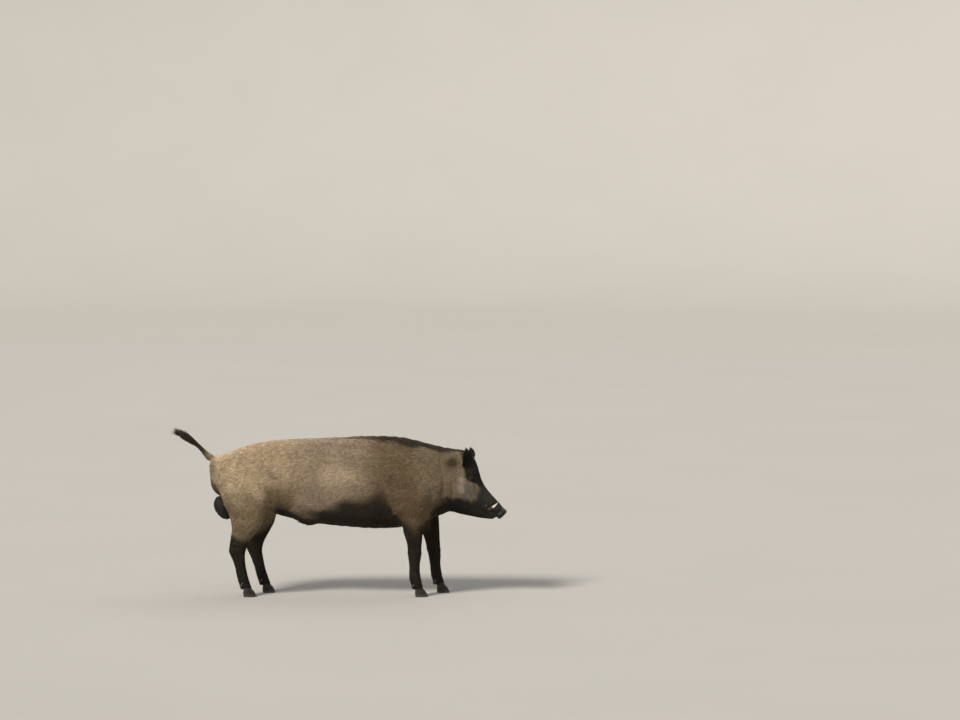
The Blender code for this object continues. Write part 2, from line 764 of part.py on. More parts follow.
def build_boar():
    """Model the boar and return its collection."""
    clear_scene()
    collection = build_collection()
    body = whole_body()

    eyes = {"eye_right": eye(body, "eye", NEAR_SIDE), "eye_left": eye(body, "eye", FAR_SIDE)}
    legs = part_legs(body)

    tail = tail_shape()
    make_room(body, tail)
    tassel = part_by_plane(tail, "tassel", *TASSEL_PARTING)
    scrotum = scrotum_shape()
    make_room(body, scrotum)
    for leg in LEGS[:2]:
        make_room(legs[leg.name][0], scrotum)
        keep_largest_piece(legs[leg.name][0])

    neck = part_by_plane(body, "neck", *NECK_PARTING)
    head = part_by_plane(neck, "head", *HEAD_PARTING)
    snout = snout_disc(head)

    ears = {
        "ear_right": ear("ear", NEAR_SIDE, NEAR_EAR_LEAN, NEAR_EAR_SPREAD),
        "ear_left": ear("ear", FAR_SIDE, FAR_EAR_LEAN, FAR_EAR_SPREAD),
    }
    tusks = {}
    for label, side in (("right", NEAR_SIDE), ("left", FAR_SIDE)):
        tusks["tusk_lower_" + label] = tusk("tusk", side, lower_tusk_path, LOWER_TUSK_RADIUS)
        tusks["tusk_upper_" + label] = tusk("tusk", side, upper_tusk_path, UPPER_TUSK_RADIUS)
    for part in [*eyes.values(), *tusks.values()]:
        make_room(head, part)
    for part in ears.values():
        make_room(head, part, EAR_GAP)
        make_room(neck, part, EAR_GAP)
    keep_largest_piece(head)
    keep_largest_piece(neck)

    for leg in LEGS:
        upper, lower = legs[leg.name]
        for name, part in feet(leg, lower).items():
            finish_part(collection, part, name, "hoof")
        finish_part(collection, upper, "leg_" + leg.name + "_upper", "leg")
        finish_part(collection, lower, "leg_" + leg.name + "_lower", "leg")
    for name, part in ears.items():
        finish_part(collection, part, name, "ear")
    for name, part in eyes.items():
        finish_part(collection, part, name, "eye")
    for name, part in tusks.items():
        finish_part(collection, part, name, "tusk")
    finish_part(collection, body, "trunk", "trunk")
    finish_part(collection, neck, "neck", "neck")
    finish_part(collection, head, "head", "head")
    finish_part(collection, snout, "snout_disc", "snout")
    finish_part(collection, tail, "tail", "tail")
    finish_part(collection, tassel, "tail_tassel", "tail")
    finish_part(collection, scrotum, "scrotum", "scrotum")
    stand_on_origin(collection)
    return collection


build_boar()
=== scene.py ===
"""A wild boar at life size, as a still museum model in its short summer coat.

One hide is modelled over the body's solids, and a coat of bristle tufts grows from it.
Eyes, tusks, hooves and dewclaws are pieces of their own.
Metres, +Z up. The boar faces -Y, and its right side is towards -X.
"""
import math
from collections import namedtuple

import bpy
import numpy as np
from bpy.props import FloatProperty, FloatVectorProperty, IntProperty, PointerProperty
from mathutils import Matrix, Vector
from mathutils.bvhtree import BVHTree


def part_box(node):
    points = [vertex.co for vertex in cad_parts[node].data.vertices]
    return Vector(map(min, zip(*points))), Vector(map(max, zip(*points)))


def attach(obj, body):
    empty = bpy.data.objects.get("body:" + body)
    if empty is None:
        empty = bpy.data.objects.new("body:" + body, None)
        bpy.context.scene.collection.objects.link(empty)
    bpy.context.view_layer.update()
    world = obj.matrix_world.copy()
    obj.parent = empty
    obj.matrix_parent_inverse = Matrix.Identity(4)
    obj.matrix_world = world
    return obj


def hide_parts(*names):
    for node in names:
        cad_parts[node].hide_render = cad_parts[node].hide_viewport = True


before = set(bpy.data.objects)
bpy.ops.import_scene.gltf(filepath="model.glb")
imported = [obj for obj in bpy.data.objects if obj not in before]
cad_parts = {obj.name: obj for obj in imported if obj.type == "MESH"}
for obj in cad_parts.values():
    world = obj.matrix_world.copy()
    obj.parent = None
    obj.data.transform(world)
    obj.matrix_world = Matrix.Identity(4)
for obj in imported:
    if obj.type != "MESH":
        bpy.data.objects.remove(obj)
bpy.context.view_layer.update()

bl_info = {
    "name": "Wild Boar",
    "version": (1, 0, 0),
    "blender": (4, 5, 0),
    "location": "3D View > Sidebar > Boar",
    "description": "Models the hide, coat, eyes, tusks and hooves of a life-size wild boar",
    "category": "Add Mesh",
}

# ---- the parts that the frame brings ----

SIDES = {"right": -1.0, "left": 1.0}
LEGS = ("fore_right", "fore_left", "hind_right", "hind_left")
LEG_PARTS = tuple(f"leg_{leg}_{half}" for leg in LEGS for half in ("upper", "lower"))
FLESH = ("trunk", "neck", "head", "snout_disc", "ear_right", "ear_left", "tail", "tail_tassel",
         "scrotum") + LEG_PARTS
PART_NUMBER = {name: number for number, name in enumerate(FLESH)}

ACROSS = np.array((1.0, 0.0, 0.0))
BACKWARD = np.array((0.0, 1.0, 0.0))
UPRIGHT = np.array((0.0, 0.0, 1.0))

# The head's own frame: it is pitched down and turned a little to the boar's right.
HEAD_PITCH = math.radians(45.0)
HEAD_YAW = math.radians(-6.0)
SNOUT_REACH = 0.2684
SNOUT_RISE = 0.033

# The legs swing from this height, so the part of a stride that shows falls off towards it.
HIP_HEIGHT = 0.620
GAP_GROWTH = 0.0008
HOOF_TOP = 0.044


def unit(vectors):
    """Return vectors at length one."""
    vectors = np.asarray(vectors, dtype=float)
    return vectors / np.maximum(np.linalg.norm(vectors, axis=-1, keepdims=True), 1e-9)


def box_centre(node):
    """Return the middle of a node's box."""
    low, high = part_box(node)
    return np.array((low + high) / 2.0)


def node_points(node):
    """Return the corners of a node's mesh."""
    return read(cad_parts[node].data.vertices, "co", 3)


def read(items, field, width=1, kind=np.float64):
    """Read one field of a mesh's elements into an array."""
    values = np.empty(len(items) * width, dtype=kind)
    items.foreach_get(field, values)
    return values.reshape(-1, width) if width > 1 else values


def head_frame():
    """Return the head's centre and its forward, upward and right directions, as rows."""
    turn = np.array(Matrix.Rotation(HEAD_YAW, 3, "Z"))
    forward = turn @ np.array((0.0, -math.cos(HEAD_PITCH), -math.sin(HEAD_PITCH)))
    upward = turn @ np.array((0.0, -math.sin(HEAD_PITCH), math.cos(HEAD_PITCH)))
    right = turn @ ACROSS
    axes = np.array((forward, upward, right))
    places = node_points("snout_disc") @ axes.T
    front = places[places[:, 0] > places[:, 0].max() - 0.0005]
    middle = (front.min(axis=0) + front.max(axis=0)) / 2.0
    return (middle - np.array((SNOUT_REACH, SNOUT_RISE, 0.0))) @ axes, axes


HEAD_CENTRE, HEAD_AXES = head_frame()
FORWARD, UPWARD, RIGHTWARD = HEAD_AXES


def head_place(points):
    """Return points as their places along, above and beside the head's line."""
    return (points - HEAD_CENTRE) @ HEAD_AXES.T


def head_point(along, above, aside=0.0):
    """Return a point given by its place along, above and beside the head's line."""
    return HEAD_CENTRE + FORWARD * along + UPWARD * above + RIGHTWARD * aside


def from_eyes(points):
    """Return how far points lie from the nearer eye's middle."""
    right, left = (points - box_centre("eye_" + side_name) for side_name in SIDES)
    return np.minimum(np.linalg.norm(right, axis=1), np.linalg.norm(left, axis=1))


def foot_place(leg):
    """Return the middle of a foot's two hooves."""
    return (box_centre(f"hoof_{leg}_inner") + box_centre(f"hoof_{leg}_outer")) / 2.0


def stride(girdle):
    """Return how far the left foot of a pair of legs stands behind the right one."""
    return foot_place(girdle + "_left")[1] - foot_place(girdle + "_right")[1]


def ear_axis(side_name):
    """Return the direction from an ear's root to its tip."""
    places = node_points("ear_" + side_name)
    rise = places @ unit(UPWARD * 0.80 - FORWARD * 0.60)
    tip = places[rise > rise.max() - 0.004].mean(axis=0)
    root = places[rise < rise.min() + 0.010].mean(axis=0)
    return unit(tip - root)


# ---- colours ----

def linear(code):
    """Turn an sRGB hex colour into linear red, green and blue."""
    channels = [int(code[place:place + 2], 16) / 255.0 for place in (1, 3, 5)]
    return tuple(c / 12.92 if c <= 0.04045 else ((c + 0.055) / 1.055) ** 2.4 for c in channels)


def colour_setting(name, code, description):
    """Return a colour property with an sRGB hex default."""
    return FloatVectorProperty(name=name, description=description, subtype="COLOR", size=3,
                               min=0.0, max=1.0, default=linear(code))


# ---- settings that a user would change ----

def length_setting(name, default, low, high, description):
    """Return a length property, in metres."""
    return FloatProperty(name=name, description=description, default=default, min=low, max=high,
                         unit="LENGTH")


def strength_setting(name, default, description):
    """Return a property for the strength of a light."""
    return FloatProperty(name=name, description=description, default=default, min=0.0)


class BoarHideSettings(bpy.types.PropertyGroup):
    """Sizes of the hide under the coat."""
    grain: length_setting("Grain", 0.0032, 0.002, 0.01, "Side of the small faces that the hide is built with")
    smoothing: IntProperty(name="Smoothing", description="Rounds of smoothing over the body's broad parts",
                           default=150, min=0, max=400)
    body_depth: length_setting("Body coat depth", 0.0030, 0.0, 0.02,
                               "How far the hide lies under the trunk's outline")
    crest_depth: length_setting("Crest depth", 0.0040, 0.0, 0.02,
                                "How much deeper the hide lies under the back's crest")
    triangles: IntProperty(name="Body triangles", description="Triangles left on the trunk, neck and legs",
                           default=44000, min=10000, max=120000)
    face_share: FloatProperty(name="Face share", description="Share of the face's triangles that are kept",
                              default=0.55, min=0.1, max=1.0)


class BoarCoatSettings(bpy.types.PropertyGroup):
    """Sizes of the bristle coat."""
    length: length_setting("Length", 0.026, 0.005, 0.08, "Length of a body tuft")
    width: length_setting("Width", 0.0024, 0.0005, 0.006, "Width of a body tuft")
    lift: FloatProperty(name="Lift", description="Angle at which tufts leave the hide",
                        default=math.radians(9.0), min=0.0, max=1.0, subtype="ANGLE")
    crest_length: length_setting("Crest length", 0.044, 0.01, 0.1, "Length of the bristles along the back")
    tassel_length: length_setting("Tassel length", 0.052, 0.01, 0.12, "Length of the hair at the tail's end")
    seed: IntProperty(name="Seed", description="Start of the coat's random draws", default=11, min=0)


class BoarColourSettings(bpy.types.PropertyGroup):
    """Colours of the coat's zones and of the bare parts, with painted shade and painted highlights among
    them.
    """
    rump: colour_setting("Rump", "#bfa98a", "Pale tan over the rump and hips")
    flank: colour_setting("Flank", "#a28f79", "Greyish brown of the ribs and flank")
    # Pale is painted light: the rim light in a band behind the hips and the highlight on the ribs.
    pale: colour_setting("Pale", "#dfcaa9", "Palest tan, behind the hips and on the ribs")
    # Haunch is painted shade: a warm brown laid low on the thigh, in the fold before it and at the tail root.
    haunch: colour_setting("Haunch", "#6f5c42", "Warm brown of the thigh")
    shoulder: colour_setting("Shoulder", "#79664d", "Brown of the shoulder")
    neck: colour_setting("Neck", "#83735b", "Brown of the neck")
    crest: colour_setting("Crest", "#30281e", "Dark bristles along the back")
    # The dark brown of the underside and legs, also laid as painted shade under the body and behind the
    # elbow.
    underside_and_shade: colour_setting("Belly", "#2a231a", "Dark brown underside")
    leg: colour_setting("Leg", "#251f18", "Blackish brown of the lower legs")
    # Face is dark hair round the eyes and on the forehead, darkened on the forehead as painted shade where it
    # turns from the light.
    face: colour_setting("Face", "#201b15", "Blackish brown of the forehead and round the eyes")
    cheek: colour_setting("Cheek", "#776a5c", "Pale greyish cheek")
    # The cheek streak is a painted highlight: a pale band of light laid on the cheek's hair.
    streak: colour_setting("Cheek streak", "#a09282", "Palest hair, behind the cheek")
    ear_patch: colour_setting("Ear patch", "#3f3122", "Rusty brown behind the ears")
    ear: colour_setting("Ear", "#181511", "Near black of the ears")
    muzzle: colour_setting("Muzzle", "#302e28", "Dark grey of the muzzle")
    # Jaw is dark hair, and below a level line on the head it is also painted shade under the jaw and throat.
    jaw: colour_setting("Jaw", "#1f1b16", "Near black of jaw and throat")
    snout: colour_setting("Snout", "#181716", "Black bare skin of the snout's disc")
    # Painted shade: the reddish brown of the inner thighs where shade falls between them, below the tail.
    seat_shade: colour_setting("Seat", "#4a3424", "Reddish brown between the thighs, below the tail")
    bare_skin: colour_setting("Bare skin", "#a3988c", "Greyish bare skin under the tail")
    tail: colour_setting("Tail", "#322b1c", "Dark olive brown of the tail")
    scrotum: colour_setting("Scrotum", "#1c1612", "Black brown bare skin under the tail")


class BoarStageSettings(bpy.types.PropertyGroup):
    """The studio round the boar."""
    floor: colour_setting("Floor", "#b6b3ad", "Pale warm grey of floor and backdrop")
    sun: strength_setting("Main light", 3.4, "Strength of the broad main light")
    opposite: strength_setting("Opposite light", 1.0, "Strength of the weak light from the far side")
    sky: strength_setting("Fill light", 0.55, "Strength of the even light from all round")


# ---- working with objects and meshes ----

def only(*objects):
    """Leave nothing selected but the given objects, with the first of them active."""
    bpy.ops.object.select_all(action="DESELECT")
    for item in objects:
        item.select_set(True)
    bpy.context.view_layer.objects.active = objects[0]


def edit(target):
    """Enter edit mode on one object with its whole mesh selected."""
    only(target)
    bpy.ops.object.mode_set(mode="EDIT")
    bpy.ops.mesh.select_mode(type="VERT")
    bpy.ops.mesh.select_all(action="SELECT")


def leave_edit():
    """Go back to object mode."""
    bpy.ops.object.mode_set(mode="OBJECT")


def copy_of_node(node, name):
    """Return a copy of a node's mesh as an object of its own, with its triangles joined up."""
    made = bpy.data.objects.new(name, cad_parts[node].data.copy())
    made.data.materials.clear()
    bpy.context.scene.collection.objects.link(made)
    edit(made)
    bpy.ops.mesh.remove_doubles(threshold=0.00001)
    leave_edit()
    return made


def apply_modifier(target, kind, **settings):
    """Add one modifier to an object, set it and apply it."""
    only(target)
    bpy.ops.object.modifier_add(type=kind)
    added = target.modifiers[-1]
    for field, value in settings.items():
        setattr(added, field, value)
    bpy.ops.object.modifier_apply(modifier=added.name)


def finish_piece(piece, material, slot, *nodes):
    """Give a piece its material, and tell the frame what it rides on and stands for."""
    piece.data.materials.clear()
    piece.data.materials.append(material)
    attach(piece, "root")
    if nodes:
        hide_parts(*nodes)


def select_vertices(target, chosen):
    """Enter edit mode on one object with only the chosen vertices selected."""
    edit(target)
    bpy.ops.mesh.select_all(action="DESELECT")
    leave_edit()
    target.data.vertices.foreach_set("select", np.asarray(chosen, dtype=bool))
    bpy.ops.object.mode_set(mode="EDIT")


# ---- shaping with arrays ----

def ramp(low, high, values):
    """Return a smooth rise from 0 at the first value to 1 at the second, which may be lower."""
    share = np.clip((values - low) / (high - low), 0.0, 1.0)
    return share * share * (3.0 - 2.0 * share)


def bell(values, width):
    """Return 1 where the values are 0, falling softly to 0 over about twice the width."""
    return np.exp(-(values / width) ** 2)


def ripple(points, size, seed, waves=9):
    """Return a smooth, seeded wander between about -1 and 1, whose swells are of the given size."""
    draw = np.random.default_rng(seed)
    facing = unit(draw.normal(size=(waves, 3)))
    pace = draw.uniform(0.6, 1.5, waves) * math.tau / (2.0 * size)
    start = draw.uniform(0.0, math.tau, waves)
    total = np.zeros(len(points))
    for wave in range(waves):
        total += np.sin(points @ facing[wave] * pace[wave] + start[wave])
    return total / math.sqrt(waves)


def path_gap(places, path):
    """Return how far flat places lie from a path of straight runs, and how far along it they are."""
    nearest = np.full(len(places), np.inf)
    share = np.zeros(len(places))
    path = np.asarray(path, dtype=float)
    runs = len(path) - 1
    for step in range(runs):
        start, run = path[step], path[step + 1] - path[step]
        along = np.clip((places - start) @ run / (run @ run), 0.0, 1.0)
        gap = np.linalg.norm(places - start - along[:, None] * run, axis=1)
        closer = gap < nearest
        nearest = np.where(closer, gap, nearest)
        share = np.where(closer, (step + along) / runs, share)
    return nearest, share


def mesh_points(mesh):
    """Return a mesh's vertices."""
    return read(mesh.vertices, "co", 3)


def set_points(mesh, points):
    """Move a mesh's vertices."""
    mesh.vertices.foreach_set("co", np.ascontiguousarray(points, dtype=np.float32).ravel())
    mesh.update()


def mesh_normals(mesh):
    """Return the directions that a mesh's vertices face."""
    return read(mesh.vertex_normals, "vector", 3)


def mesh_edges(mesh):
    """Return the two ends of each edge of a mesh."""
    return read(mesh.edges, "vertices", 2, np.int32)


def relax(values, edges, share, rounds):
    """Draw each vertex's values towards the mean of its neighbours', by its own share, several times."""
    first, second = edges[:, 0], edges[:, 1]
    size = len(values)
    count = np.maximum(np.bincount(first, minlength=size) + np.bincount(second, minlength=size), 1)
    values = values.copy()
    for _ in range(rounds):
        for column in range(values.shape[1]):
            line = values[:, column]
            total = np.bincount(first, line[second], size) + np.bincount(second, line[first], size)
            line += (total / count - line) * share
    return values


def part_lookup():
    """Return a search tree over all the body's solids and the part number of each of its faces."""
    corners, faces, owners = [], [], []
    for name in FLESH:
        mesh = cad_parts[name].data
        start = len(corners)
        corners += [vertex.co.copy() for vertex in mesh.vertices]
        faces += [[start + corner for corner in face.vertices] for face in mesh.polygons]
        owners += [PART_NUMBER[name]] * len(mesh.polygons)
    return BVHTree.FromPolygons(corners, faces), np.array(owners)


def nearest_parts(points):
    """Return the part number of the solid that each point lies nearest to."""
    tree, owners = part_lookup()
    return owners[[tree.find_nearest(Vector(point))[2] for point in points]]


def is_part(numbers, *names):
    """Return which part numbers are among the named parts."""
    return np.isin(numbers, [PART_NUMBER[name] for name in names])


def leg_numbers(numbers, half=None):
    """Return which part numbers are legs, or only their upper or lower halves."""
    return is_part(numbers, *[name for name in LEG_PARTS if half is None or name.endswith(half)])


def unswung(points):
    """Return each point's place along Y with the left legs swung back level with the right ones."""
    fall = np.clip(1.0 - (points[:, 2] / HIP_HEIGHT) ** 2, 0.0, 1.0)
    step = np.where(points[:, 1] > 0.0, stride("hind"), stride("fore"))
    return points[:, 1] - np.where(points[:, 0] > 0.0, step, 0.0) * fall


# ---- forms of the body and face ----

# A swelling, or a hollow where its height is negative: its middle, its reach each way, and its height.
# On the body the places are along Y and Z, on the face along and above the head's line.
Swell = namedtuple("Swell", "name along above reach_along reach_above height")
BODY_SWELLS = (
    Swell("shoulder blade", -0.320, 0.610, 0.050, 0.110, 0.0050),
    Swell("point of the shoulder", -0.425, 0.500, 0.040, 0.055, 0.0050),
    Swell("elbow", -0.292, 0.425, 0.024, 0.030, 0.0060),
    Swell("haunch", 0.455, 0.600, 0.080, 0.090, 0.0040),
    Swell("hip bone", 0.385, 0.715, 0.040, 0.026, 0.0040),
    Swell("flank hollow", 0.235, 0.640, 0.060, 0.060, -0.0060),
    Swell("stifle", 0.352, 0.460, 0.034, 0.042, 0.0045),
    Swell("knee", -0.395, 0.226, 0.020, 0.024, 0.0025),
    Swell("hock", 0.470, 0.236, 0.022, 0.020, 0.0025),
)
FACE_SWELLS = (
    Swell("brow", 0.020, 0.082, 0.024, 0.009, 0.0045),
    Swell("cheekbone", 0.062, 0.036, 0.036, 0.012, 0.0045),
    Swell("jaw muscle", 0.018, -0.058, 0.042, 0.042, 0.0050),
    Swell("temple hollow", -0.016, 0.092, 0.020, 0.014, -0.0035),
    Swell("muzzle hollow", 0.132, 0.034, 0.030, 0.014, -0.0040),
    Swell("upper lip over the tusk", 0.182, 0.008, 0.022, 0.010, 0.0050),
    Swell("lower lip at the tusk", 0.190, -0.024, 0.020, 0.010, 0.0035),
)

# A crease: its path, half its width, its depth, and the height of the rims along it.
Crease = namedtuple("Crease", "name path width depth rim")
BODY_CREASES = (
    Crease("behind the shoulder", ((-0.222, 0.690), (-0.232, 0.580), (-0.258, 0.470), (-0.282, 0.400)),
           0.026, 0.0042, 0.0),
    Crease("before the shoulder", ((-0.400, 0.680), (-0.446, 0.590), (-0.472, 0.480)), 0.020, 0.0040, 0.0),
    Crease("before the thigh", ((0.296, 0.600), (0.312, 0.520), (0.338, 0.445)), 0.022, 0.0050, 0.0),
    Crease("neck fold", ((-0.500, 0.690), (-0.522, 0.600), (-0.518, 0.500)), 0.012, 0.0030, 0.0005),
    Crease("above the hock", ((0.500, 0.335), (0.500, 0.295), (0.507, 0.262)), 0.008, 0.0040, 0.0),
    Crease("hind tendon", ((0.488, 0.200), (0.480, 0.155), (0.470, 0.105)), 0.005, 0.0024, 0.0),
    Crease("fore tendon", ((-0.353, 0.195), (-0.360, 0.150), (-0.364, 0.105)), 0.005, 0.0024, 0.0),
)
MOUTH_LINE = ((0.247, -0.004), (0.226, -0.007), (0.205, -0.010), (0.186, -0.009), (0.165, -0.015),
              (0.142, -0.031), (0.118, -0.050), (0.100, -0.064))
FACE_CREASES = (
    Crease("mouth", MOUTH_LINE, 0.0017, 0.0042, 0.0010),
    Crease("groove before the eye", ((0.050, 0.052), (0.078, 0.042), (0.106, 0.038)), 0.006, 0.0028, 0.0),
    Crease("jowl", ((0.088, -0.078), (0.064, -0.100), (0.034, -0.122)), 0.008, 0.0030, 0.0005),
    Crease("under the eye", ((0.042, 0.045), (0.027, 0.041), (0.012, 0.047)), 0.0030, 0.0014, 0.0004),
    Crease("behind the tusk", ((0.168, 0.020), (0.160, 0.008), (0.156, -0.006)), 0.0045, 0.0022, 0.0),
)
SNOUT_WRINKLES = 5
SNOUT_WRINKLE_START = 0.200
SNOUT_WRINKLE_PITCH = 0.0092

# The nostrils on the disc: their middles above and beside the head's line, their reach and their depth.
NOSTRIL_ABOVE = 0.035
NOSTRIL_ASIDE = 0.0165
NOSTRIL_REACH = (0.0066, 0.0088)
NOSTRIL_DEPTH = 0.0100

# The eye's opening in its own frame: half its length, and its rise and fall. The lids blend into the face
# over a small length, and inside the opening the skin lies under the eyeball's surface.
EYE_RADIUS = 0.0125
EYE_HALF_LENGTH = 0.0104
EYE_RISE = 0.0056
EYE_FALL = 0.0044
LID_THICKNESS = 0.0016
LID_REACH = 0.024
LID_BLEND = 0.0012
SOCKET_DEPTH = 0.0022


def forms(places, swells, creases):
    """Return how far swellings and creases raise the surface at flat places."""
    lift = np.zeros(len(places))
    for swell in swells:
        gap = np.hypot((places[:, 0] - swell.along) / swell.reach_along,
                       (places[:, 1] - swell.above) / swell.reach_above)
        lift += swell.height * bell(gap, 1.0)
    for crease in creases:
        gap, share = path_gap(places, crease.path)
        if crease.name == "mouth":
            ends = ramp(1.0, 0.9, share)
        else:
            ends = ramp(0.0, 0.10, share) * ramp(1.0, 0.85, share)
        lift -= crease.depth * bell(gap, crease.width) * ends
        lift += crease.rim * bell(gap - 2.2 * crease.width, crease.width) * ends
    return lift


def tusk_plug(node):
    """Return the buried root of a tusk, which fills the hollow that it leaves in the head."""
    plug = copy_of_node(node, "plug_" + node)
    edit(plug)
    bpy.ops.mesh.bisect(plane_co=head_point(0.0, 0.008), plane_no=UPWARD, use_fill=True, clear_outer=True)
    leave_edit()
    return plug


def hide_blank(settings):
    """Join the body's solids, without their cuts, into one even skin of small square faces."""
    blanks = [copy_of_node(name, "blank_" + name) for name in FLESH + ("eye_right", "eye_left")]
    blanks += [tusk_plug(f"tusk_{row}_{side}") for row in ("lower", "upper") for side in SIDES]
    for blank in blanks:
        edit(blank)
        if blank.name == "blank_snout_disc":
            bpy.ops.mesh.convex_hull()
        bpy.ops.transform.shrink_fatten(value=GAP_GROWTH)
        leave_edit()
    only(*blanks)
    bpy.ops.object.join()
    hide = bpy.context.view_layer.objects.active
    hide.name = "boar_hide"
    apply_modifier(hide, "REMESH", mode="VOXEL", voxel_size=settings.grain)
    return hide


# Smoothing shrinks a shape: its drift, blurred by this many rounds, is given back.
VOLUME_ROUNDS = 60

# How many rounds blur the smoothing and the coat's depth over the borders between parts.
SHARE_ROUNDS = 20
DEPTH_ROUNDS = 12


# For each part: how freely the blank is smoothed, the broad parts most, and how deep the hide lies under its
# outline. Where no depth is given it is the trunk's.
SMOOTHING = {"trunk": 0.60, "neck": 0.60, "head": 0.10, "snout_disc": 0.010, "ear": 0.012, "scrotum": 0.08,
             "tail": 0.04, "upper": 0.30, "lower": 0.05}
DEPTHS = {"head": 0.0014, "snout_disc": 0.0006, "ear": 0.0012, "scrotum": 0.0006, "lower": 0.0014}


def by_part(numbers, table, otherwise):
    """Return a measure for each point from a table that knows parts by the start or end of their names."""
    values = [next((table[key] for key in table if name.startswith(key) or name.endswith(key)), otherwise)
              for name in FLESH]
    return np.array(values)[numbers]


def crest_weight(points):
    """Return how much each point belongs to the crest of long bristles on the neck and back."""
    near_top = ramp(0.085, 0.020, np.abs(points[:, 0])) * ramp(0.60, 0.68, points[:, 2])
    return near_top * ramp(0.16, -0.20, points[:, 1]) * ramp(-0.635, -0.500, points[:, 1])


def coat_depth(points, numbers, settings):
    """Return how far the hide lies under the body's outline at each point."""
    depth = by_part(numbers, DEPTHS | {"upper": settings.body_depth * 0.75}, settings.body_depth)
    return depth + settings.crest_depth * crest_weight(points)


def tail_line(points):
    """Return the middle of the tail level with each point, and the way that the tail runs there."""
    low, high = (np.array(corner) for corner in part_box("tail_tassel"))
    knots = (0.0, 0.30, 0.62, 1.0)
    share = (points[:, 1] - low[1]) / (high[1] - low[1])
    rise = np.interp(share, knots, (0.008, 0.032, 0.049, 0.060))
    centre = np.column_stack((np.zeros(len(points)), points[:, 1], low[2] + rise))
    angle = np.radians(np.interp(points[:, 1] - low[1], (-0.12, -0.06, -0.03, 0.0, 0.05, 0.11),
                                 (24.0, 48.0, 47.0, 38.0, 26.0, 16.0)))
    way = np.column_stack((np.zeros(len(points)), np.cos(angle), np.sin(angle)))
    return centre, way


def draw_in_tassel(points, numbers):
    """Thin the tail's end to the flesh inside its tassel."""
    tassel = is_part(numbers, "tail_tassel")
    low, high = (np.array(corner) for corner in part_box("tail_tassel"))
    along = (points[:, 1] - low[1]) / (high[1] - low[1])
    shortened = low[1] + (high[1] - low[1]) * np.clip(along, None, 1.0) * (1.0 - 0.42 * ramp(0.1, 1.0, along))
    source, _ = tail_line(points)
    moved = points.copy()
    moved[:, 1] = shortened
    target, _ = tail_line(moved)
    slim = 1.0 - ramp(-0.10, 0.60, along) * 0.50
    drawn = target + (points - source) * slim[:, None]
    drawn[:, 1] = shortened
    points[tassel] = drawn[tassel]


def shape_body(hide, settings):
    """Smooth the blank, sink it by the coat's depth and model the forms of the body in it."""
    mesh = hide.data
    points = mesh_points(mesh)
    edges = mesh_edges(mesh)
    numbers = nearest_parts(points)
    share = relax(by_part(numbers, SMOOTHING, 0.0)[:, None], edges, 0.5, SHARE_ROUNDS)[:, 0]
    smooth = relax(points, edges, share, settings.smoothing)
    points = smooth - relax(smooth - points, edges, 0.5, VOLUME_ROUNDS)
    draw_in_tassel(points, numbers)
    set_points(mesh, points)

    depth = relax(coat_depth(points, numbers, settings)[:, None], edges, 0.5, DEPTH_ROUNDS)[:, 0]
    normals = mesh_normals(mesh)
    places = np.column_stack((unswung(points), points[:, 2]))
    outward = ramp(0.15, 0.65, normals[:, 0] * np.sign(points[:, 0]))
    both_sides = ramp(0.2, 0.7, np.abs(normals[:, 0]))
    outward = np.where(leg_numbers(numbers, "lower"), both_sides, outward)
    on_body = is_part(numbers, "trunk", "neck") | leg_numbers(numbers)
    lift = forms(places, BODY_SWELLS, BODY_CREASES) * outward * on_body
    lift += ripple(points, 0.035, 5) * 0.0006 * on_body
    wrinkles = np.abs(ripple(points * np.array((1.0, 1.0, 2.2)), 0.016, 6))
    lift -= wrinkles * 0.0012 * is_part(numbers, "scrotum")
    bottom = ramp(HOOF_TOP + 0.020, HOOF_TOP + 0.004, points[:, 2])
    points += normals * (lift - depth * (1.0 - 0.5 * bottom))[:, None]
    points[:, 2] -= ramp(HOOF_TOP + 0.008, HOOF_TOP, points[:, 2]) * 0.0040
    set_points(mesh, points)
    keep_part_numbers(mesh, numbers)


def keep_part_numbers(mesh, numbers):
    """Store each vertex's part number on the mesh."""
    stored = mesh.attributes.get("part") or mesh.attributes.new("part", "INT", "POINT")
    stored.data.foreach_set("value", numbers.astype(np.int32))


def refine(hide, chosen):
    """Split the chosen faces of the hide in four."""
    select_vertices(hide, chosen)
    bpy.ops.mesh.subdivide(number_cuts=1, smoothness=0.0)
    leave_edit()


def face_vertices(points, numbers):
    """Return which vertices belong to the front of the head."""
    places = head_place(points)
    return is_part(numbers, "head", "snout_disc") & (places[:, 0] > 0.0)


def part_numbers(mesh):
    """Return the part number that is stored for each vertex."""
    return read(mesh.attributes["part"].data, "value", 1, np.int32)


def eye_frame(side_name, points, normals):
    """Return an eye's centre and its directions along the lids, up and outward, as rows."""
    centre = box_centre("eye_" + side_name)
    near = np.linalg.norm(points - centre, axis=1) < 0.030
    outward = unit(normals[near].mean(axis=0))
    along = FORWARD * 0.96 - UPWARD * 0.28
    along = unit(along - outward * (along @ outward))
    upward = np.cross(outward, along)
    upward = upward if upward @ UPWARD > 0.0 else -upward
    return centre, np.array((along, upward, outward))


def opening(local):
    """Return how far out of the eye's almond opening places lie: under 1 inside, 1 on its rim."""
    half = np.where(local[:, 1] > 0.0, EYE_RISE, EYE_FALL)
    pinch = 1.0 - 0.35 * np.clip(np.abs(local[:, 0]) / EYE_HALF_LENGTH, 0.0, 1.0) ** 2
    return np.hypot(local[:, 0] / EYE_HALF_LENGTH, local[:, 1] / (half * pinch))


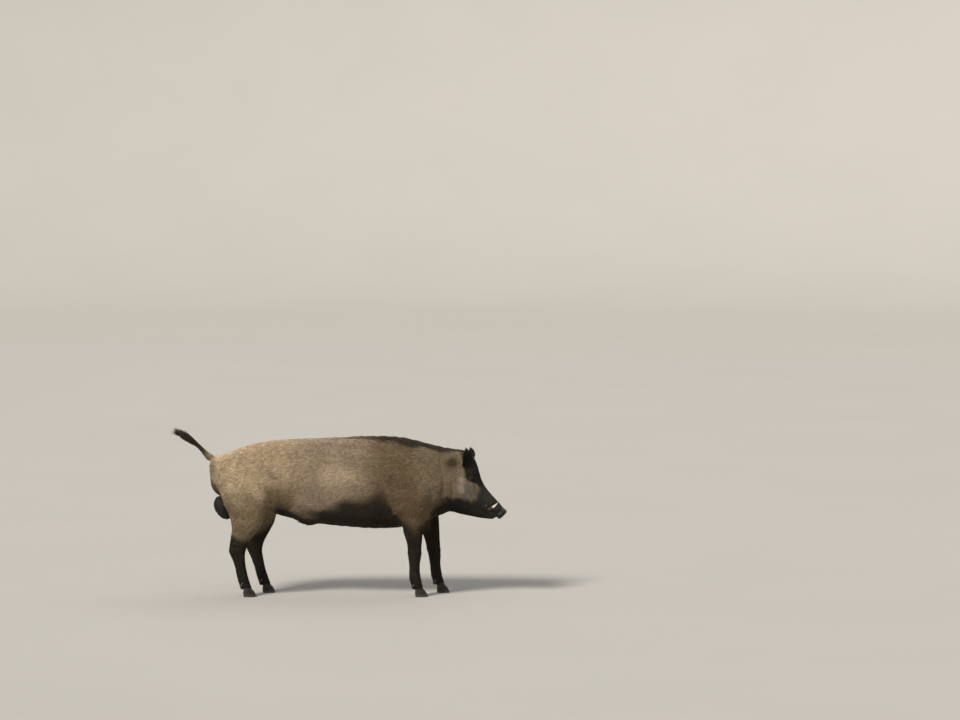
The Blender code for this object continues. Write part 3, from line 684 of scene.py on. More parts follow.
def shape_lids(points, normals):
    """Wrap the skin round each eyeball as lids with an almond opening."""
    for side_name in SIDES:
        centre, axes = eye_frame(side_name, points, normals)
        near = np.flatnonzero(np.linalg.norm(points - centre, axis=1) < LID_REACH)
        local = (points[near] - centre) @ axes.T
        radius = np.hypot(local[:, 0], local[:, 1])
        out = opening(local)
        ball = np.sqrt(np.clip(EYE_RADIUS ** 2 - radius ** 2, 0.0, None))
        lid = np.sqrt(np.clip((EYE_RADIUS + LID_THICKNESS) ** 2 - radius ** 2, 0.0, None))
        skin = local[:, 2]
        raised = LID_BLEND * np.logaddexp(skin / LID_BLEND, lid / LID_BLEND)
        rim = 0.0005 * bell(out - 1.22, 0.16)
        fold = -0.0010 * bell(out - 2.0, 0.16) * (local[:, 1] > 0.0)
        covered = raised + rim + fold
        sunk = ball - SOCKET_DEPTH
        share = ramp(0.90, 1.10, out)
        local[:, 2] = sunk * (1.0 - share) + covered * share
        fade = ramp(LID_REACH, LID_REACH * 0.75, radius)[:, None]
        points[near] += (centre + local @ axes - points[near]) * fade


def disc_vertices(points):
    """Return which vertices lie on the front of the snout's disc."""
    return head_place(points)[:, 0] > SNOUT_REACH - 0.012


def nostril_gap(places):
    """Return how far out of a nostril places on the head lie: under 1 inside, 1 on its rim."""
    return np.hypot((np.abs(places[:, 2]) - NOSTRIL_ASIDE) / NOSTRIL_REACH[0],
                    (places[:, 1] - NOSTRIL_ABOVE) / NOSTRIL_REACH[1])


def shape_nostrils(points, places):
    """Press the nostrils into the disc, with a raised rim, and a shallow groove between them."""
    front = ramp(SNOUT_REACH - 0.010, SNOUT_REACH - 0.004, places[:, 0])
    gap = nostril_gap(places)
    push = -NOSTRIL_DEPTH * ramp(1.12, 0.72, gap) + 0.0012 * bell(gap - 1.35, 0.28)
    push -= 0.0016 * bell(places[:, 2], 0.0040) * ramp(0.065, 0.040, places[:, 1])
    push -= 0.0040 * ramp(0.030, 0.046, np.abs(places[:, 2]))
    points += FORWARD * (push * front)[:, None]


def shape_face(hide):
    """Model the mouth, lids, wrinkles and forms of the face in the refined part of the hide."""
    mesh = hide.data
    numbers = part_numbers(mesh)
    refine(hide, face_vertices(mesh_points(mesh), numbers))
    refine(hide, disc_vertices(mesh_points(mesh)))
    points = mesh_points(mesh)
    numbers = nearest_parts(points)
    edges = mesh_edges(mesh)
    face = face_vertices(points, numbers)
    points = relax(points, edges, 0.35 * face * ~is_part(numbers, "snout_disc"), 8)
    set_points(mesh, points)
    normals = mesh_normals(mesh)
    places = head_place(points)
    head = is_part(numbers, "head")
    outward = ramp(0.20, 0.65, np.abs(normals @ RIGHTWARD))
    front = ramp(0.215, 0.235, places[:, 0])
    lift = forms(places[:, :2], FACE_SWELLS, FACE_CREASES) * np.maximum(outward, front) * head
    top = ramp(0.020, 0.044, places[:, 1]) * head
    for turn in range(SNOUT_WRINKLES):
        wander = 0.0012 * np.sin(places[:, 2] * 190.0 + turn * 1.7)
        gap = places[:, 0] - SNOUT_WRINKLE_START - SNOUT_WRINKLE_PITCH * turn + wander
        lift -= 0.0016 * bell(gap, 0.0022) * top
    points += normals * lift[:, None]
    shape_nostrils(points, places)
    shape_lids(points, normals)
    set_points(mesh, points)
    keep_part_numbers(mesh, numbers)


def fine_places(points):
    """Return which points lie where the face is most finely modelled: eyes, mouth, tusks and disc."""
    places = head_place(points)
    fine = places[:, 0] > 0.196
    fine |= path_gap(places[:, :2], MOUTH_LINE)[0] < 0.008
    return fine | (from_eyes(points) < LID_REACH + 0.004)


def thin(hide, chosen, ratio):
    """Thin the chosen part of the hide's mesh to a share of its triangles."""
    select_vertices(hide, chosen)
    bpy.ops.mesh.decimate(ratio=ratio)
    leave_edit()


# ---- markings, with painted shade and highlights ----

def mixed(base, colour, weight):
    """Lay a colour over others by a weight for each point."""
    return base + (np.array(colour) - base) * np.clip(weight, 0.0, 1.0)[:, None]


# The upper border of the dark underside, partly painted shade under the body and behind the elbow: places
# along the body, from the rear, and their heights.
UNDERSIDE_SHADE_BORDER = ((0.400, 0.300), (0.332, 0.355), (0.277, 0.468), (0.225, 0.440), (0.179, 0.412), (0.081, 0.418),
             (-0.017, 0.470), (-0.115, 0.496), (-0.213, 0.512), (-0.250, 0.508), (-0.305, 0.380),
             (-0.370, 0.350), (-0.450, 0.360), (-0.485, 0.460), (-0.515, 0.495), (-0.600, 0.488))

# Half the width of the dark crest along the back, from the rear.
CREST_HALF_WIDTH = ((0.300, 0.006), (0.000, 0.022), (-0.200, 0.056), (-0.380, 0.090), (-0.500, 0.072),
                    (-0.600, 0.046), (-0.700, 0.040))


def along_body(table, lengthwise):
    """Return a measure, given in a table from the rear forward, at places along the body."""
    back, height = zip(*reversed(table))
    return np.interp(lengthwise, back, height)


def body_colours(points, colours):
    """Return the markings of the trunk, neck and legs, with painted shade and painted highlights among them.
    """
    lengthwise, height = points[:, 1] + 0.020 * ripple(points, 0.10, 21), points[:, 2]
    base = np.tile(np.array(colours.flank), (len(points), 1))
    base = mixed(base, colours.rump, ramp(0.06, 0.40, lengthwise))
    # Painted highlights in the pale tan: rim light in a band behind the hips, then light on the ribs.
    base = mixed(base, colours.pale, ramp(0.46, 0.60, lengthwise) * ramp(0.48, 0.55, height) * 0.90)
    ribs = np.hypot((lengthwise + 0.005) / 0.110, (height - 0.615) / 0.090)
    base = mixed(base, colours.pale, ramp(1.2, 0.3, ribs) * 0.32)
    # Painted shade in the haunch's brown, low on the front of the thigh and in the fold before it.
    base = mixed(base, colours.haunch, ramp(0.26, 0.34, lengthwise) * ramp(0.56, 0.40, height) * 0.55)
    fold = np.hypot((lengthwise - 0.272) / 0.085, (height - 0.470) / 0.095)
    base = mixed(base, colours.haunch, ramp(1.25, 0.35, fold) * 0.85)
    base = mixed(base, colours.shoulder, ramp(-0.06, -0.24, lengthwise))
    base = mixed(base, colours.neck, ramp(-0.34, -0.44, lengthwise) * ramp(0.45, 0.53, height))
    wander = 0.016 * ripple(points, 0.06, 22)
    # The dark underside is partly the coat's own colour and partly painted shade under the body and behind
    # the elbow.
    border = along_body(UNDERSIDE_SHADE_BORDER, points[:, 1])
    base = mixed(base, colours.underside_and_shade, ramp(0.030, -0.034, height - border + wander) * 0.96)
    behind = ramp(0.500, 0.560, points[:, 1])
    half = np.interp(height, (0.420, 0.560, 0.610, 0.680), (0.130, 0.105, 0.060, 0.050))
    # Painted shade between the thighs, below the tail.
    seat_shade = behind * ramp(1.15, 0.60, np.abs(points[:, 0]) / half + 6.0 * wander)
    base = mixed(base, colours.seat_shade, seat_shade * ramp(0.67, 0.58, height) * ramp(0.38, 0.44, height) * 0.85)
    # Painted shade in the haunch's brown on the rear of the rump, round the tail root.
    base = mixed(base, colours.haunch, ramp(0.575, 0.610, points[:, 1]) * ramp(0.60, 0.64, height) * 0.45)
    gap = np.hypot(points[:, 0] / 0.026, (height - 0.580) / 0.026)
    base = mixed(base, colours.bare_skin, behind * ramp(1.1, 0.6, gap) * 0.8)
    gap = np.hypot(points[:, 0] / 0.018, (height - 0.624) / 0.016)
    return mixed(base, colours.scrotum, behind * ramp(1.2, 0.7, gap))


def leg_colours(points, base, colours):
    """Darken the legs downward."""
    wander = 0.014 * ripple(points, 0.05, 23)
    base = mixed(base, colours.underside_and_shade, ramp(0.37, 0.24, points[:, 2] + wander) * 0.60)
    return mixed(base, colours.leg, ramp(0.33, 0.15, points[:, 2] + wander))


def crest_share(points):
    """Return how far each point's colour is the dark crest's, from the back to between the ears."""
    lengthwise = points[:, 1] + 0.020 * ripple(points, 0.10, 21)
    aside = np.abs(points[:, 0]) / along_body(CREST_HALF_WIDTH, lengthwise) + 0.16 * ripple(points, 0.06, 22)
    return ramp(1.30, 0.75, aside) * ramp(0.58, 0.66, points[:, 2]) * ramp(0.12, -0.34, lengthwise)


# The lower border of the face's dark mask, which is dark hair darkened further as painted shade where the
# forehead turns from the light, and the path of the painted highlight on the cheek, along and above the
# head's line.
MASK_SHADE_BORDER = ((-0.100, 0.118), (-0.073, 0.104), (-0.045, 0.080), (-0.021, 0.068), (-0.002, 0.054),
               (0.010, 0.045), (0.029, 0.044), (0.048, 0.050), (0.071, 0.057), (0.100, 0.052))
CHEEK_HIGHLIGHT = ((-0.020, 0.040), (0.006, 0.020), (0.028, 0.000), (0.040, -0.014))


def head_colours(points, colours):
    """Return the markings of the head, with painted shade on the forehead, under the jaw and in the nostrils,
    and a painted highlight on the cheek.
    """
    places = head_place(points)
    along, above = places[:, 0], places[:, 1]
    wander = ripple(points, 0.022, 24)
    base = np.tile(np.array(colours.neck), (len(points), 1))
    gap = np.hypot((along - 0.062) / 1.12, above - 0.004 + 0.25 * (along - 0.062)) + 0.005 * wander
    base = mixed(base, colours.cheek, ramp(0.072, 0.036, gap))
    # A painted highlight: a pale streak of light along the cheek.
    streak, share = path_gap(places[:, :2], CHEEK_HIGHLIGHT)
    base = mixed(base, colours.streak, ramp(0.024, 0.001, streak + 0.005 * wander) * ramp(0.0, 0.35, share))
    gap = np.hypot(along + 0.085, above - 0.052) + 0.004 * wander
    base = mixed(base, colours.ear_patch, ramp(0.046, 0.010, gap) * 0.90)
    # Above this border the face is dark hair with painted shade where the forehead turns from the light.
    border = np.interp(along, *zip(*MASK_SHADE_BORDER))
    dark = ramp(-0.007, 0.006, above - border + 0.003 * wander) * ramp(-0.110, -0.070, along)
    base = mixed(base, colours.face, dark)
    base = mixed(base, colours.muzzle, ramp(0.096, 0.130, along + 0.25 * (above - 0.01) + 0.005 * wander))
    # Painted shade under the head: below a level line the jaw and throat go near black, over their dark hair.
    level = np.interp(-points[:, 1], (0.600, 0.680), (0.484, 0.462))
    throat = ramp(0.018, -0.018, points[:, 2] - level + 0.006 * wander)
    base = mixed(base, colours.jaw, throat * ramp(0.225, 0.185, along))
    base = mixed(base, colours.face, ramp(0.024, 0.015, from_eyes(points)))
    groove, _ = path_gap(places[:, :2], MOUTH_LINE)
    base = mixed(base, colours.snout, ramp(0.0045, 0.0015, groove) * ramp(0.085, 0.105, along))
    base = mixed(base, colours.snout, ramp(0.224, 0.242, along))
    # Painted shade: the insides of the nostrils are darkened.
    inside = ramp(1.10, 0.85, nostril_gap(places)) * ramp(SNOUT_REACH - 0.016, SNOUT_REACH - 0.010, along)
    return base * (1.0 - 0.6 * inside)[:, None]


def markings(points, numbers, colours):
    """Return the colour of hide and coat at each point of the named parts."""
    base = body_colours(points, colours)
    base = np.where(leg_numbers(numbers)[:, None], leg_colours(points, base, colours), base)
    head = head_colours(points, colours)
    onto_head = ramp(-0.500, -0.560, points[:, 1] + 0.008 * ripple(points, 0.03, 25))
    onto_head = onto_head * is_part(numbers, "neck", "head", "snout_disc")
    base = base + (head - base) * onto_head[:, None]
    base = mixed(base, colours.crest, 0.96 * crest_share(points) * is_part(numbers, "trunk", "neck", "head"))
    base[is_part(numbers, "ear_right", "ear_left")] = colours.ear
    tail = is_part(numbers, "tail", "tail_tassel")
    joined = mixed(base, colours.tail, ramp(0.60, 0.67, points[:, 1]))
    base = np.where(tail[:, None], joined, base)
    base[is_part(numbers, "scrotum")] = colours.scrotum
    mottle = 1.0 + 0.06 * ripple(points, 0.045, 26) + 0.05 * ripple(points, 0.012, 27)
    return np.clip(base * mottle[:, None], 0.0, 1.0)


def bareness(points, numbers):
    """Return how bare of hair each point is: the snout's disc, lips, lids, nostrils and scrotum."""
    places = head_place(points)
    bare = is_part(numbers, "head", "snout_disc") * ramp(0.226, 0.244, places[:, 0])
    groove, _ = path_gap(places[:, :2], MOUTH_LINE)
    on_head = is_part(numbers, "head")
    bare = np.maximum(bare, on_head * ramp(0.0050, 0.0030, groove))
    bare = np.maximum(bare, ramp(0.0150, 0.0140, from_eyes(points)))
    return np.maximum(bare, is_part(numbers, "scrotum") * 0.45)


def paint(mesh, colours, bare):
    """Store colours, with the bareness as their fourth value, on a mesh's vertices."""
    layer = mesh.color_attributes.new("marking", "FLOAT_COLOR", "POINT")
    layer.data.foreach_set("color", np.column_stack((colours, bare)).astype(np.float32).ravel())


# ---- materials ----

def set_inputs(tree, node, inputs):
    """Set or link a node's inputs."""
    for socket, value in inputs.items():
        if isinstance(value, bpy.types.NodeSocket):
            tree.links.new(value, node.inputs[socket])
        else:
            node.inputs[socket].default_value = value


def add(tree, kind, inputs=None, **fields):
    """Add a shader node, set its fields, and set or link its inputs."""
    node = tree.nodes.new(kind)
    for field, value in fields.items():
        setattr(node, field, value)
    set_inputs(tree, node, inputs or {})
    return node


def new_material(name):
    """Return an empty node material with its tree, shader and object coordinates."""
    made = bpy.data.materials.new(name)
    made.use_nodes = True
    tree = made.node_tree
    shader = tree.nodes["Principled BSDF"]
    place = add(tree, "ShaderNodeTexCoord").outputs["Object"]
    return made, tree, shader, place


def streaks(tree, place, across, along, turn):
    """Return noise drawn out along one direction, like hair that lies flat; sizes in metres."""
    mapped = add(tree, "ShaderNodeMapping", {"Vector": place, "Rotation": turn,
                                             "Scale": (1.0 / across, 1.0 / along, 1.0 / across)})
    noise = add(tree, "ShaderNodeTexNoise", {"Vector": mapped.outputs[0], "Scale": 1.0, "Detail": 2.0,
                                             "Roughness": 0.6})
    return noise.outputs[0]


def toned(tree, colour, pattern, low, high, start=0.0, end=1.0):
    """Return a colour that goes from dimmed to brightened as a pattern goes from its start to its end."""
    share = add(tree, "ShaderNodeMapRange", {0: pattern, 1: start, 2: end, 3: low, 4: high})
    scaled = add(tree, "ShaderNodeVectorMath", {0: colour, "Scale": share.outputs[0]}, operation="SCALE")
    return scaled.outputs[0]


def set_stops(node, stops):
    """Give a colour ramp its stops, each a position and an sRGB colour."""
    elements = node.color_ramp.elements
    elements.remove(elements[1])
    elements[0].position = stops[0][0]
    elements[0].color = (*linear(stops[0][1]), 1.0)
    for position, code in stops[1:]:
        elements.new(position).color = (*linear(code), 1.0)


def hide_material():
    """Short flat bristle over skin: a matt, finely streaked surface; bare skin is smoother and pebbled."""
    made, tree, shader, place = new_material("short_summer_bristle_over_hide")
    marking = add(tree, "ShaderNodeAttribute", attribute_name="marking")
    bare = marking.outputs["Alpha"]
    # Bristles 0.3 mm thick lie in strands; the strands are drawn 1.6 mm wide so that they show.
    strands = streaks(tree, place, 0.0016, 0.018, (0.0, 0.0, 0.0))
    # Pores and pebbles of the bare snout are 1.4 mm apart.
    pebbles = add(tree, "ShaderNodeTexVoronoi", {"Vector": place, "Scale": 700.0})
    relief = add(tree, "ShaderNodeMix", {0: bare, 2: strands, 3: pebbles.outputs["Distance"]},
                 data_type="FLOAT")
    bump = add(tree, "ShaderNodeBump", {"Height": relief.outputs[0], "Strength": 0.6, "Distance": 0.0012})
    gloss = add(tree, "ShaderNodeMapRange", {0: bare, 3: 0.80, 4: 0.42})
    colour = toned(tree, marking.outputs["Color"], strands, 0.80, 1.16, 0.3, 0.7)
    set_inputs(tree, shader, {"Base Color": colour, "Roughness": gloss.outputs[0], "Specular IOR Level": 0.30,
                              "Normal": bump.outputs[0]})
    return made


def bristle_material():
    """Boar bristle: stiff keratin hair with a dull satin shine along its length."""
    made, tree, shader, place = new_material("boar_bristle")
    marking = add(tree, "ShaderNodeAttribute", attribute_name="marking")
    # The tone wanders along a tuft over about 2.4 mm.
    grain = add(tree, "ShaderNodeTexNoise", {"Vector": place, "Scale": 420.0, "Detail": 1.0})
    colour = toned(tree, marking.outputs["Color"], grain.outputs[0], 0.92, 1.08, 0.3, 0.7)
    set_inputs(tree, shader, {"Base Color": colour, "Roughness": 0.62, "Specular IOR Level": 0.28})
    return made


def eye_material():
    """Living eye: a dark brown iris round a black pupil, under a wet, clear cornea."""
    made, tree, shader, _ = new_material("dark_brown_eye")
    chart = add(tree, "ShaderNodeUVMap", uv_map="eye_chart")
    split = add(tree, "ShaderNodeSeparateXYZ", {0: chart.outputs[0]})
    rings = add(tree, "ShaderNodeValToRGB", {0: split.outputs["Y"]})
    set_stops(rings, ((0.0, "#6d6257"), (0.58, "#574b41"), (0.64, "#0c0908"), (0.70, "#26150b"),
                      (0.82, "#3a2212"), (0.860, "#221308"), (0.875, "#040404"), (1.0, "#030303")))
    set_inputs(tree, shader, {"Base Color": rings.outputs[0], "Roughness": 0.05, "IOR": 1.376})
    return made


def tusk_material():
    """Boar ivory: cream, stained brown towards the gum, with fine lengthwise checks and a polished tip."""
    made, tree, shader, place = new_material("boar_ivory")
    # Checks in the enamel are about 0.5 mm apart and run along the tusk; they are drawn 0.7 mm apart.
    checks = streaks(tree, place, 0.0007, 0.020, (HEAD_PITCH - math.pi / 2.0, 0.0, -HEAD_YAW))
    wear = add(tree, "ShaderNodeAttribute", attribute_name="wear").outputs["Fac"]
    stain = add(tree, "ShaderNodeValToRGB", {0: wear})
    set_stops(stain, ((0.40, "#3d3224"), (0.64, "#e6dfca")))
    bump = add(tree, "ShaderNodeBump", {"Height": checks, "Strength": 0.25, "Distance": 0.0004})
    gloss = add(tree, "ShaderNodeMapRange", {0: wear, 3: 0.50, 4: 0.24})
    colour = toned(tree, stain.outputs[0], checks, 0.86, 1.04, 0.3, 0.7)
    set_inputs(tree, shader, {"Base Color": colour, "Roughness": gloss.outputs[0], "IOR": 1.54,
                              "Normal": bump.outputs[0]})
    return made


def horn_material():
    """Hoof horn: black brown keratin with level growth rings and a scuffed, paler lower edge."""
    made, tree, shader, place = new_material("hoof_horn")
    # Growth rings are about 4.5 mm apart, and the grit of the worn edge is about 4 mm.
    rings = add(tree, "ShaderNodeTexWave", {"Vector": place, "Scale": 70.0, "Distortion": 3.0, "Detail": 3.0},
                wave_type="BANDS", bands_direction="Z").outputs["Fac"]
    grit = add(tree, "ShaderNodeTexNoise", {"Vector": place, "Scale": 260.0, "Detail": 4.0}).outputs[0]
    height = add(tree, "ShaderNodeSeparateXYZ", {0: place})
    scuff = add(tree, "ShaderNodeMapRange", {0: height.outputs["Z"], 1: 0.016, 2: 0.0, 3: 0.0, 4: 1.0})
    worn = add(tree, "ShaderNodeMath", {0: scuff.outputs[0], 1: grit}, operation="MULTIPLY")
    horn = add(tree, "ShaderNodeMix", {0: worn.outputs[0], 6: (*linear("#201c18"), 1.0),
                                       7: (*linear("#6f6557"), 1.0)}, data_type="RGBA")
    bump = add(tree, "ShaderNodeBump", {"Height": rings, "Strength": 0.30, "Distance": 0.0005})
    gloss = add(tree, "ShaderNodeMapRange", {0: grit, 3: 0.38, 4: 0.60})
    set_inputs(tree, shader, {"Base Color": toned(tree, horn.outputs[2], rings, 0.86, 1.12),
                              "Roughness": gloss.outputs[0], "Normal": bump.outputs[0]})
    return made


def studio_material(colour):
    """Painted studio floor: matt, even paint with the faintest cloudiness, in clouds of about 1 m."""
    made, tree, shader, place = new_material("matt_studio_paint")
    cloud = add(tree, "ShaderNodeTexNoise", {"Vector": place, "Scale": 0.8, "Detail": 3.0}).outputs[0]
    set_inputs(tree, shader, {"Base Color": toned(tree, (*colour,), cloud, 0.97, 1.03), "Roughness": 0.9,
                              "Specular IOR Level": 0.1})
    return made


# ---- the coat ----

# A kind of tuft: its length, width, lift, and how many grow on a square metre.
Tuft = namedtuple("Tuft", "length width lift density")


# Sections of a tuft: how far each lies along it, and its breadth as a share of the tuft's width.
SHORT_STATIONS = ((0.0, 0.75), (0.42, 1.0))
LONG_STATIONS = ((0.0, 0.70), (0.30, 1.0), (0.68, 0.75))

# A tuft starts this far under the skin, has a ridge of this share of its half width, and its rise bends back
# by a share that leaves its tip at less than its full lift.
ROOT_DEPTH = 0.0009
RIDGE = 0.75
BEND = 0.55
TIP_RISE = 0.45

# A tuft is darker at its root than at its tip, and takes up a small square of the hide's chart.
ROOT_SHADE = 0.74
SHADE_GAIN = 0.34
TIP_SHADE = 1.16
HALF_PATCH = 0.0015

# Lengths differ by this share from tuft to tuft.
LENGTH_SPREAD = 0.25

# Where the tail leaves the rump, the middle of the hollow under it, and where its long hair starts.
TAIL_ROOT = np.array((0.0, 0.612, 0.664))
UNDER_TAIL = np.array((0.0, 0.631, 0.659))
TASSEL_START = 0.690

# The trunk's coat is three pieces on each side: their names and where each begins and ends along the body.
TRUNK_COATS = (("rear", 0.26, 9.0), ("middle", -0.09, 0.26), ("front", -9.0, -0.09))
DARK_COATS = tuple("coat_" + part for part in ("crest", "tail", "tassel", "ear", "leg", "scrotum"))


def tufts_at(points, numbers, coat):
    """Return the length, width, lift and density of the tufts at each point, blended from zone to zone."""
    height, lengthwise = points[:, 2], points[:, 1]
    places = head_place(points)
    leg, tail = leg_numbers(numbers), is_part(numbers, "tail", "tail_tassel")
    head = is_part(numbers, "head", "snout_disc")
    long, wide, lift = coat.length, coat.width, coat.lift
    from_root = np.linalg.norm(points - TAIL_ROOT, axis=1)
    from_under = np.linalg.norm(points - UNDER_TAIL, axis=1)
    zones = (
        (Tuft(long * 1.05, wide, lift * 1.1, 62000.0), ramp(-0.34, -0.46, lengthwise) * ~leg),
        (Tuft(long * 0.72, wide * 0.85, lift * 0.9, 62000.0), leg * ramp(0.54, 0.40, height)),
        (Tuft(long * 0.42, wide * 0.60, lift * 0.9, 92000.0), leg * ramp(0.34, 0.20, height)),
        (Tuft(long * 0.62, wide * 0.72, lift, 84000.0), ramp(-0.45, -0.57, lengthwise) * ~leg),
        (Tuft(long * 0.38, wide * 0.52, lift * 0.75, 140000.0), head * ramp(-0.03, 0.06, places[:, 0])),
        (Tuft(long * 0.20, wide * 0.38, lift * 0.7, 165000.0), head * ramp(0.08, 0.20, places[:, 0])),
        (Tuft(long * 0.80, wide * 0.60, lift * 1.2, 80000.0),
         head * ramp(-0.030, -0.090, places[:, 1]) * ramp(0.12, 0.02, places[:, 0])),
        (Tuft(coat.crest_length, wide * 0.95, lift * 1.7, 64000.0), crest_weight(points) * ~tail),
        (Tuft(long * 0.45, wide * 0.70, lift * 2.0, 120000.0), ramp(0.060, 0.030, from_root)),
        (Tuft(long * 0.42, wide * 0.50, lift * 1.1, 110000.0), is_part(numbers, "ear_right", "ear_left")),
        (Tuft(long * 0.24, wide * 0.40, lift * 0.8, 70000.0), is_part(numbers, "scrotum")),
        (Tuft(long * 0.55, wide * 0.60, lift * 0.8, 100000.0), tail * ramp(0.58, 0.62, lengthwise)),
        (Tuft(coat.tassel_length, wide * 0.62, lift * 1.9, 260000.0), tail * ramp(0.675, 0.730, lengthwise)),
        (Tuft(long * 0.34, wide * 0.60, lift * 4.5, 210000.0), ramp(0.034, 0.021, from_under)),
    )
    sizes = np.tile(np.array(Tuft(long, wide, lift, 56000.0)), (len(points), 1))
    for tuft, weight in zones:
        sizes = mixed(sizes, tuft, weight)
    return sizes.T


def flow_at(points, numbers):
    """Return the way that the hair lies: back along the body, down the limbs and out to the tips."""
    count = len(points)
    height, lengthwise = points[:, 2], points[:, 1]
    sink = ramp(0.76, 0.55, height) * 0.55 * ramp(0.36, 0.46, height)
    sink = sink + ramp(0.48, 0.60, lengthwise) * 0.9
    sink = np.where(is_part(numbers, "scrotum"), 3.0, sink)
    flow = np.column_stack((np.zeros(count), np.ones(count), -sink))
    onto_neck = (ramp(-0.36, -0.46, lengthwise) * is_part(numbers, "trunk", "neck", "head"))[:, None]
    flow = flow + (BACKWARD * 0.95 - UPRIGHT * 0.30 - flow) * onto_neck
    spread = ramp(0.02, -0.06, head_place(points)[:, 1])[:, None]
    onto_head = (ramp(-0.46, -0.65, lengthwise) * is_part(numbers, "neck", "head", "snout_disc"))[:, None]
    flow = flow + (-FORWARD - UPWARD * 0.25 * spread - flow) * onto_head
    leg = leg_numbers(numbers)
    turned = (leg * ramp(0.58, 0.40, height))[:, None]
    flow = flow + (BACKWARD * 0.35 - UPRIGHT - flow) * turned
    turned = (leg * ramp(0.34, 0.24, height))[:, None]
    flow = flow + (BACKWARD * 0.18 - UPRIGHT - flow) * turned
    for side_name in SIDES:
        flow[is_part(numbers, "ear_" + side_name)] = ear_axis(side_name)
    tail = is_part(numbers, "tail", "tail_tassel")
    flow[tail] = tail_line(points)[1][tail]
    return flow


def roots_on(hide, chosen, density, draw):
    """Scatter roots evenly over the chosen faces of the hide; return their places and normals."""
    counts = np.floor(hide.area[chosen] * density[chosen] + draw.random(len(chosen))).astype(int)
    faces = np.repeat(chosen, counts)
    normals = hide.normal[faces]
    sideways = unit(np.cross(normals, ACROSS + 0.31 * UPRIGHT))
    other = np.cross(normals, sideways)
    size = np.sqrt(hide.area[faces])
    jitter = draw.random((len(faces), 2)) - 0.5
    places = hide.centre[faces] + sideways * (jitter[:, :1] * size[:, None])
    return places + other * (jitter[:, 1:] * size[:, None]), normals, faces


def chart(points, start, axis, away):
    """Return a cylinder unwrap of the hide about an axis, opened on the side that is not away."""
    axis = unit(axis)
    away = unit(np.asarray(away) - axis * (np.asarray(away) @ axis))
    third = np.cross(axis, away)
    local = points - start
    turn = np.arctan2(local @ third, local @ away)
    flat = np.column_stack((local @ axis, turn))
    low, high = flat.min(axis=0), flat.max(axis=0)
    return 0.02 + 0.96 * (flat - low) / (high - low)


def tuft_mesh(name, roots, flow, normals, length, width, lift, sway, colours, places, stations):
    """Build one closed, pointed, flattened lock for each root, and return them as one object."""
    count = len(roots)
    side = unit(np.cross(flow, normals))
    steps = len(stations)
    corners = 3 * steps + 1
    points = np.empty((count, corners, 3))
    tint = np.empty((count, corners))
    patch = np.empty((corners, 2))
    rise = np.tan(lift)
    for step, (share, breadth) in enumerate(stations):
        height = length * rise * (share - BEND * share ** 2) - (ROOT_DEPTH if step == 0 else 0.0)
        centre = (roots + flow * (length * share)[:, None] + normals * height[:, None]
                  + side * (length * sway * share ** 2)[:, None])
        half = (width * breadth / 2.0)[:, None]
        points[:, 3 * step] = centre - side * half
        points[:, 3 * step + 1] = centre + side * half
        points[:, 3 * step + 2] = centre + normals * half * RIDGE
        tint[:, 3 * step:3 * step + 3] = ROOT_SHADE + SHADE_GAIN * share
        level = -1.0 + 1.6 * share
        patch[3 * step:3 * step + 3] = ((-1.0, level), (1.0, level), (0.0, level + 0.3))
    height = length * rise * TIP_RISE
    points[:, -1] = (roots + flow * length[:, None] + normals * height[:, None]
                     + side * (length * sway)[:, None])
    tint[:, -1] = TIP_SHADE
    patch[-1] = (0.0, 1.0)

    faces = [(0, 1, 2)]
    for step in range(steps - 1):
        for corner in range(3):
            first, second = 3 * step + corner, 3 * step + (corner + 1) % 3
            faces.append((second, first, first + 3, second + 3))
    last = 3 * (steps - 1)
    faces += [(last + (corner + 1) % 3, last + corner, corners - 1) for corner in range(3)]
    pattern = np.concatenate([np.array(face) for face in faces])
    sizes = np.array([len(face) for face in faces])

    loops = (pattern[None, :] + (np.arange(count) * corners)[:, None]).ravel()
    totals = np.tile(sizes, count)
    starts = np.concatenate(([0], np.cumsum(totals)[:-1]))
    mesh = bpy.data.meshes.new(name)
    mesh.vertices.add(count * corners)
    mesh.loops.add(len(loops))
    mesh.polygons.add(len(totals))
    mesh.vertices.foreach_set("co", points.astype(np.float32).ravel())
    mesh.loops.foreach_set("vertex_index", loops.astype(np.int32))
    mesh.polygons.foreach_set("loop_start", starts.astype(np.int32))
    mesh.polygons.foreach_set("loop_total", totals.astype(np.int32))
    mesh.polygons.foreach_set("use_smooth", np.ones(len(totals), dtype=bool))
    mesh.update(calc_edges=True)

    spots = places[:, None, :] + patch[None, :, :] * HALF_PATCH
    uv = spots.reshape(-1, 2)[loops]
    mesh.uv_layers.new(name="OFBake").data.foreach_set("uv", uv.astype(np.float32).ravel())
    shades = colours[:, None, :] * tint[:, :, None]
    paint(mesh, np.clip(shades.reshape(-1, 3), 0.0, 1.0), np.zeros(count * corners))
    made = bpy.data.objects.new(name, mesh)
    bpy.context.scene.collection.objects.link(made)
    return made


class Hide:
    """The hide's faces as arrays, from which the coat grows."""

    def __init__(self, hide):
        mesh = hide.data
        self.centre = read(mesh.polygons, "center", 3)
        self.normal = read(mesh.polygons, "normal", 3)
        self.area = read(mesh.polygons, "area")
        first = read(mesh.polygons, "loop_start", 1, np.int32)
        corner = read(mesh.loops, "vertex_index", 1, np.int32)[first]
        self.part = part_numbers(mesh)[corner]


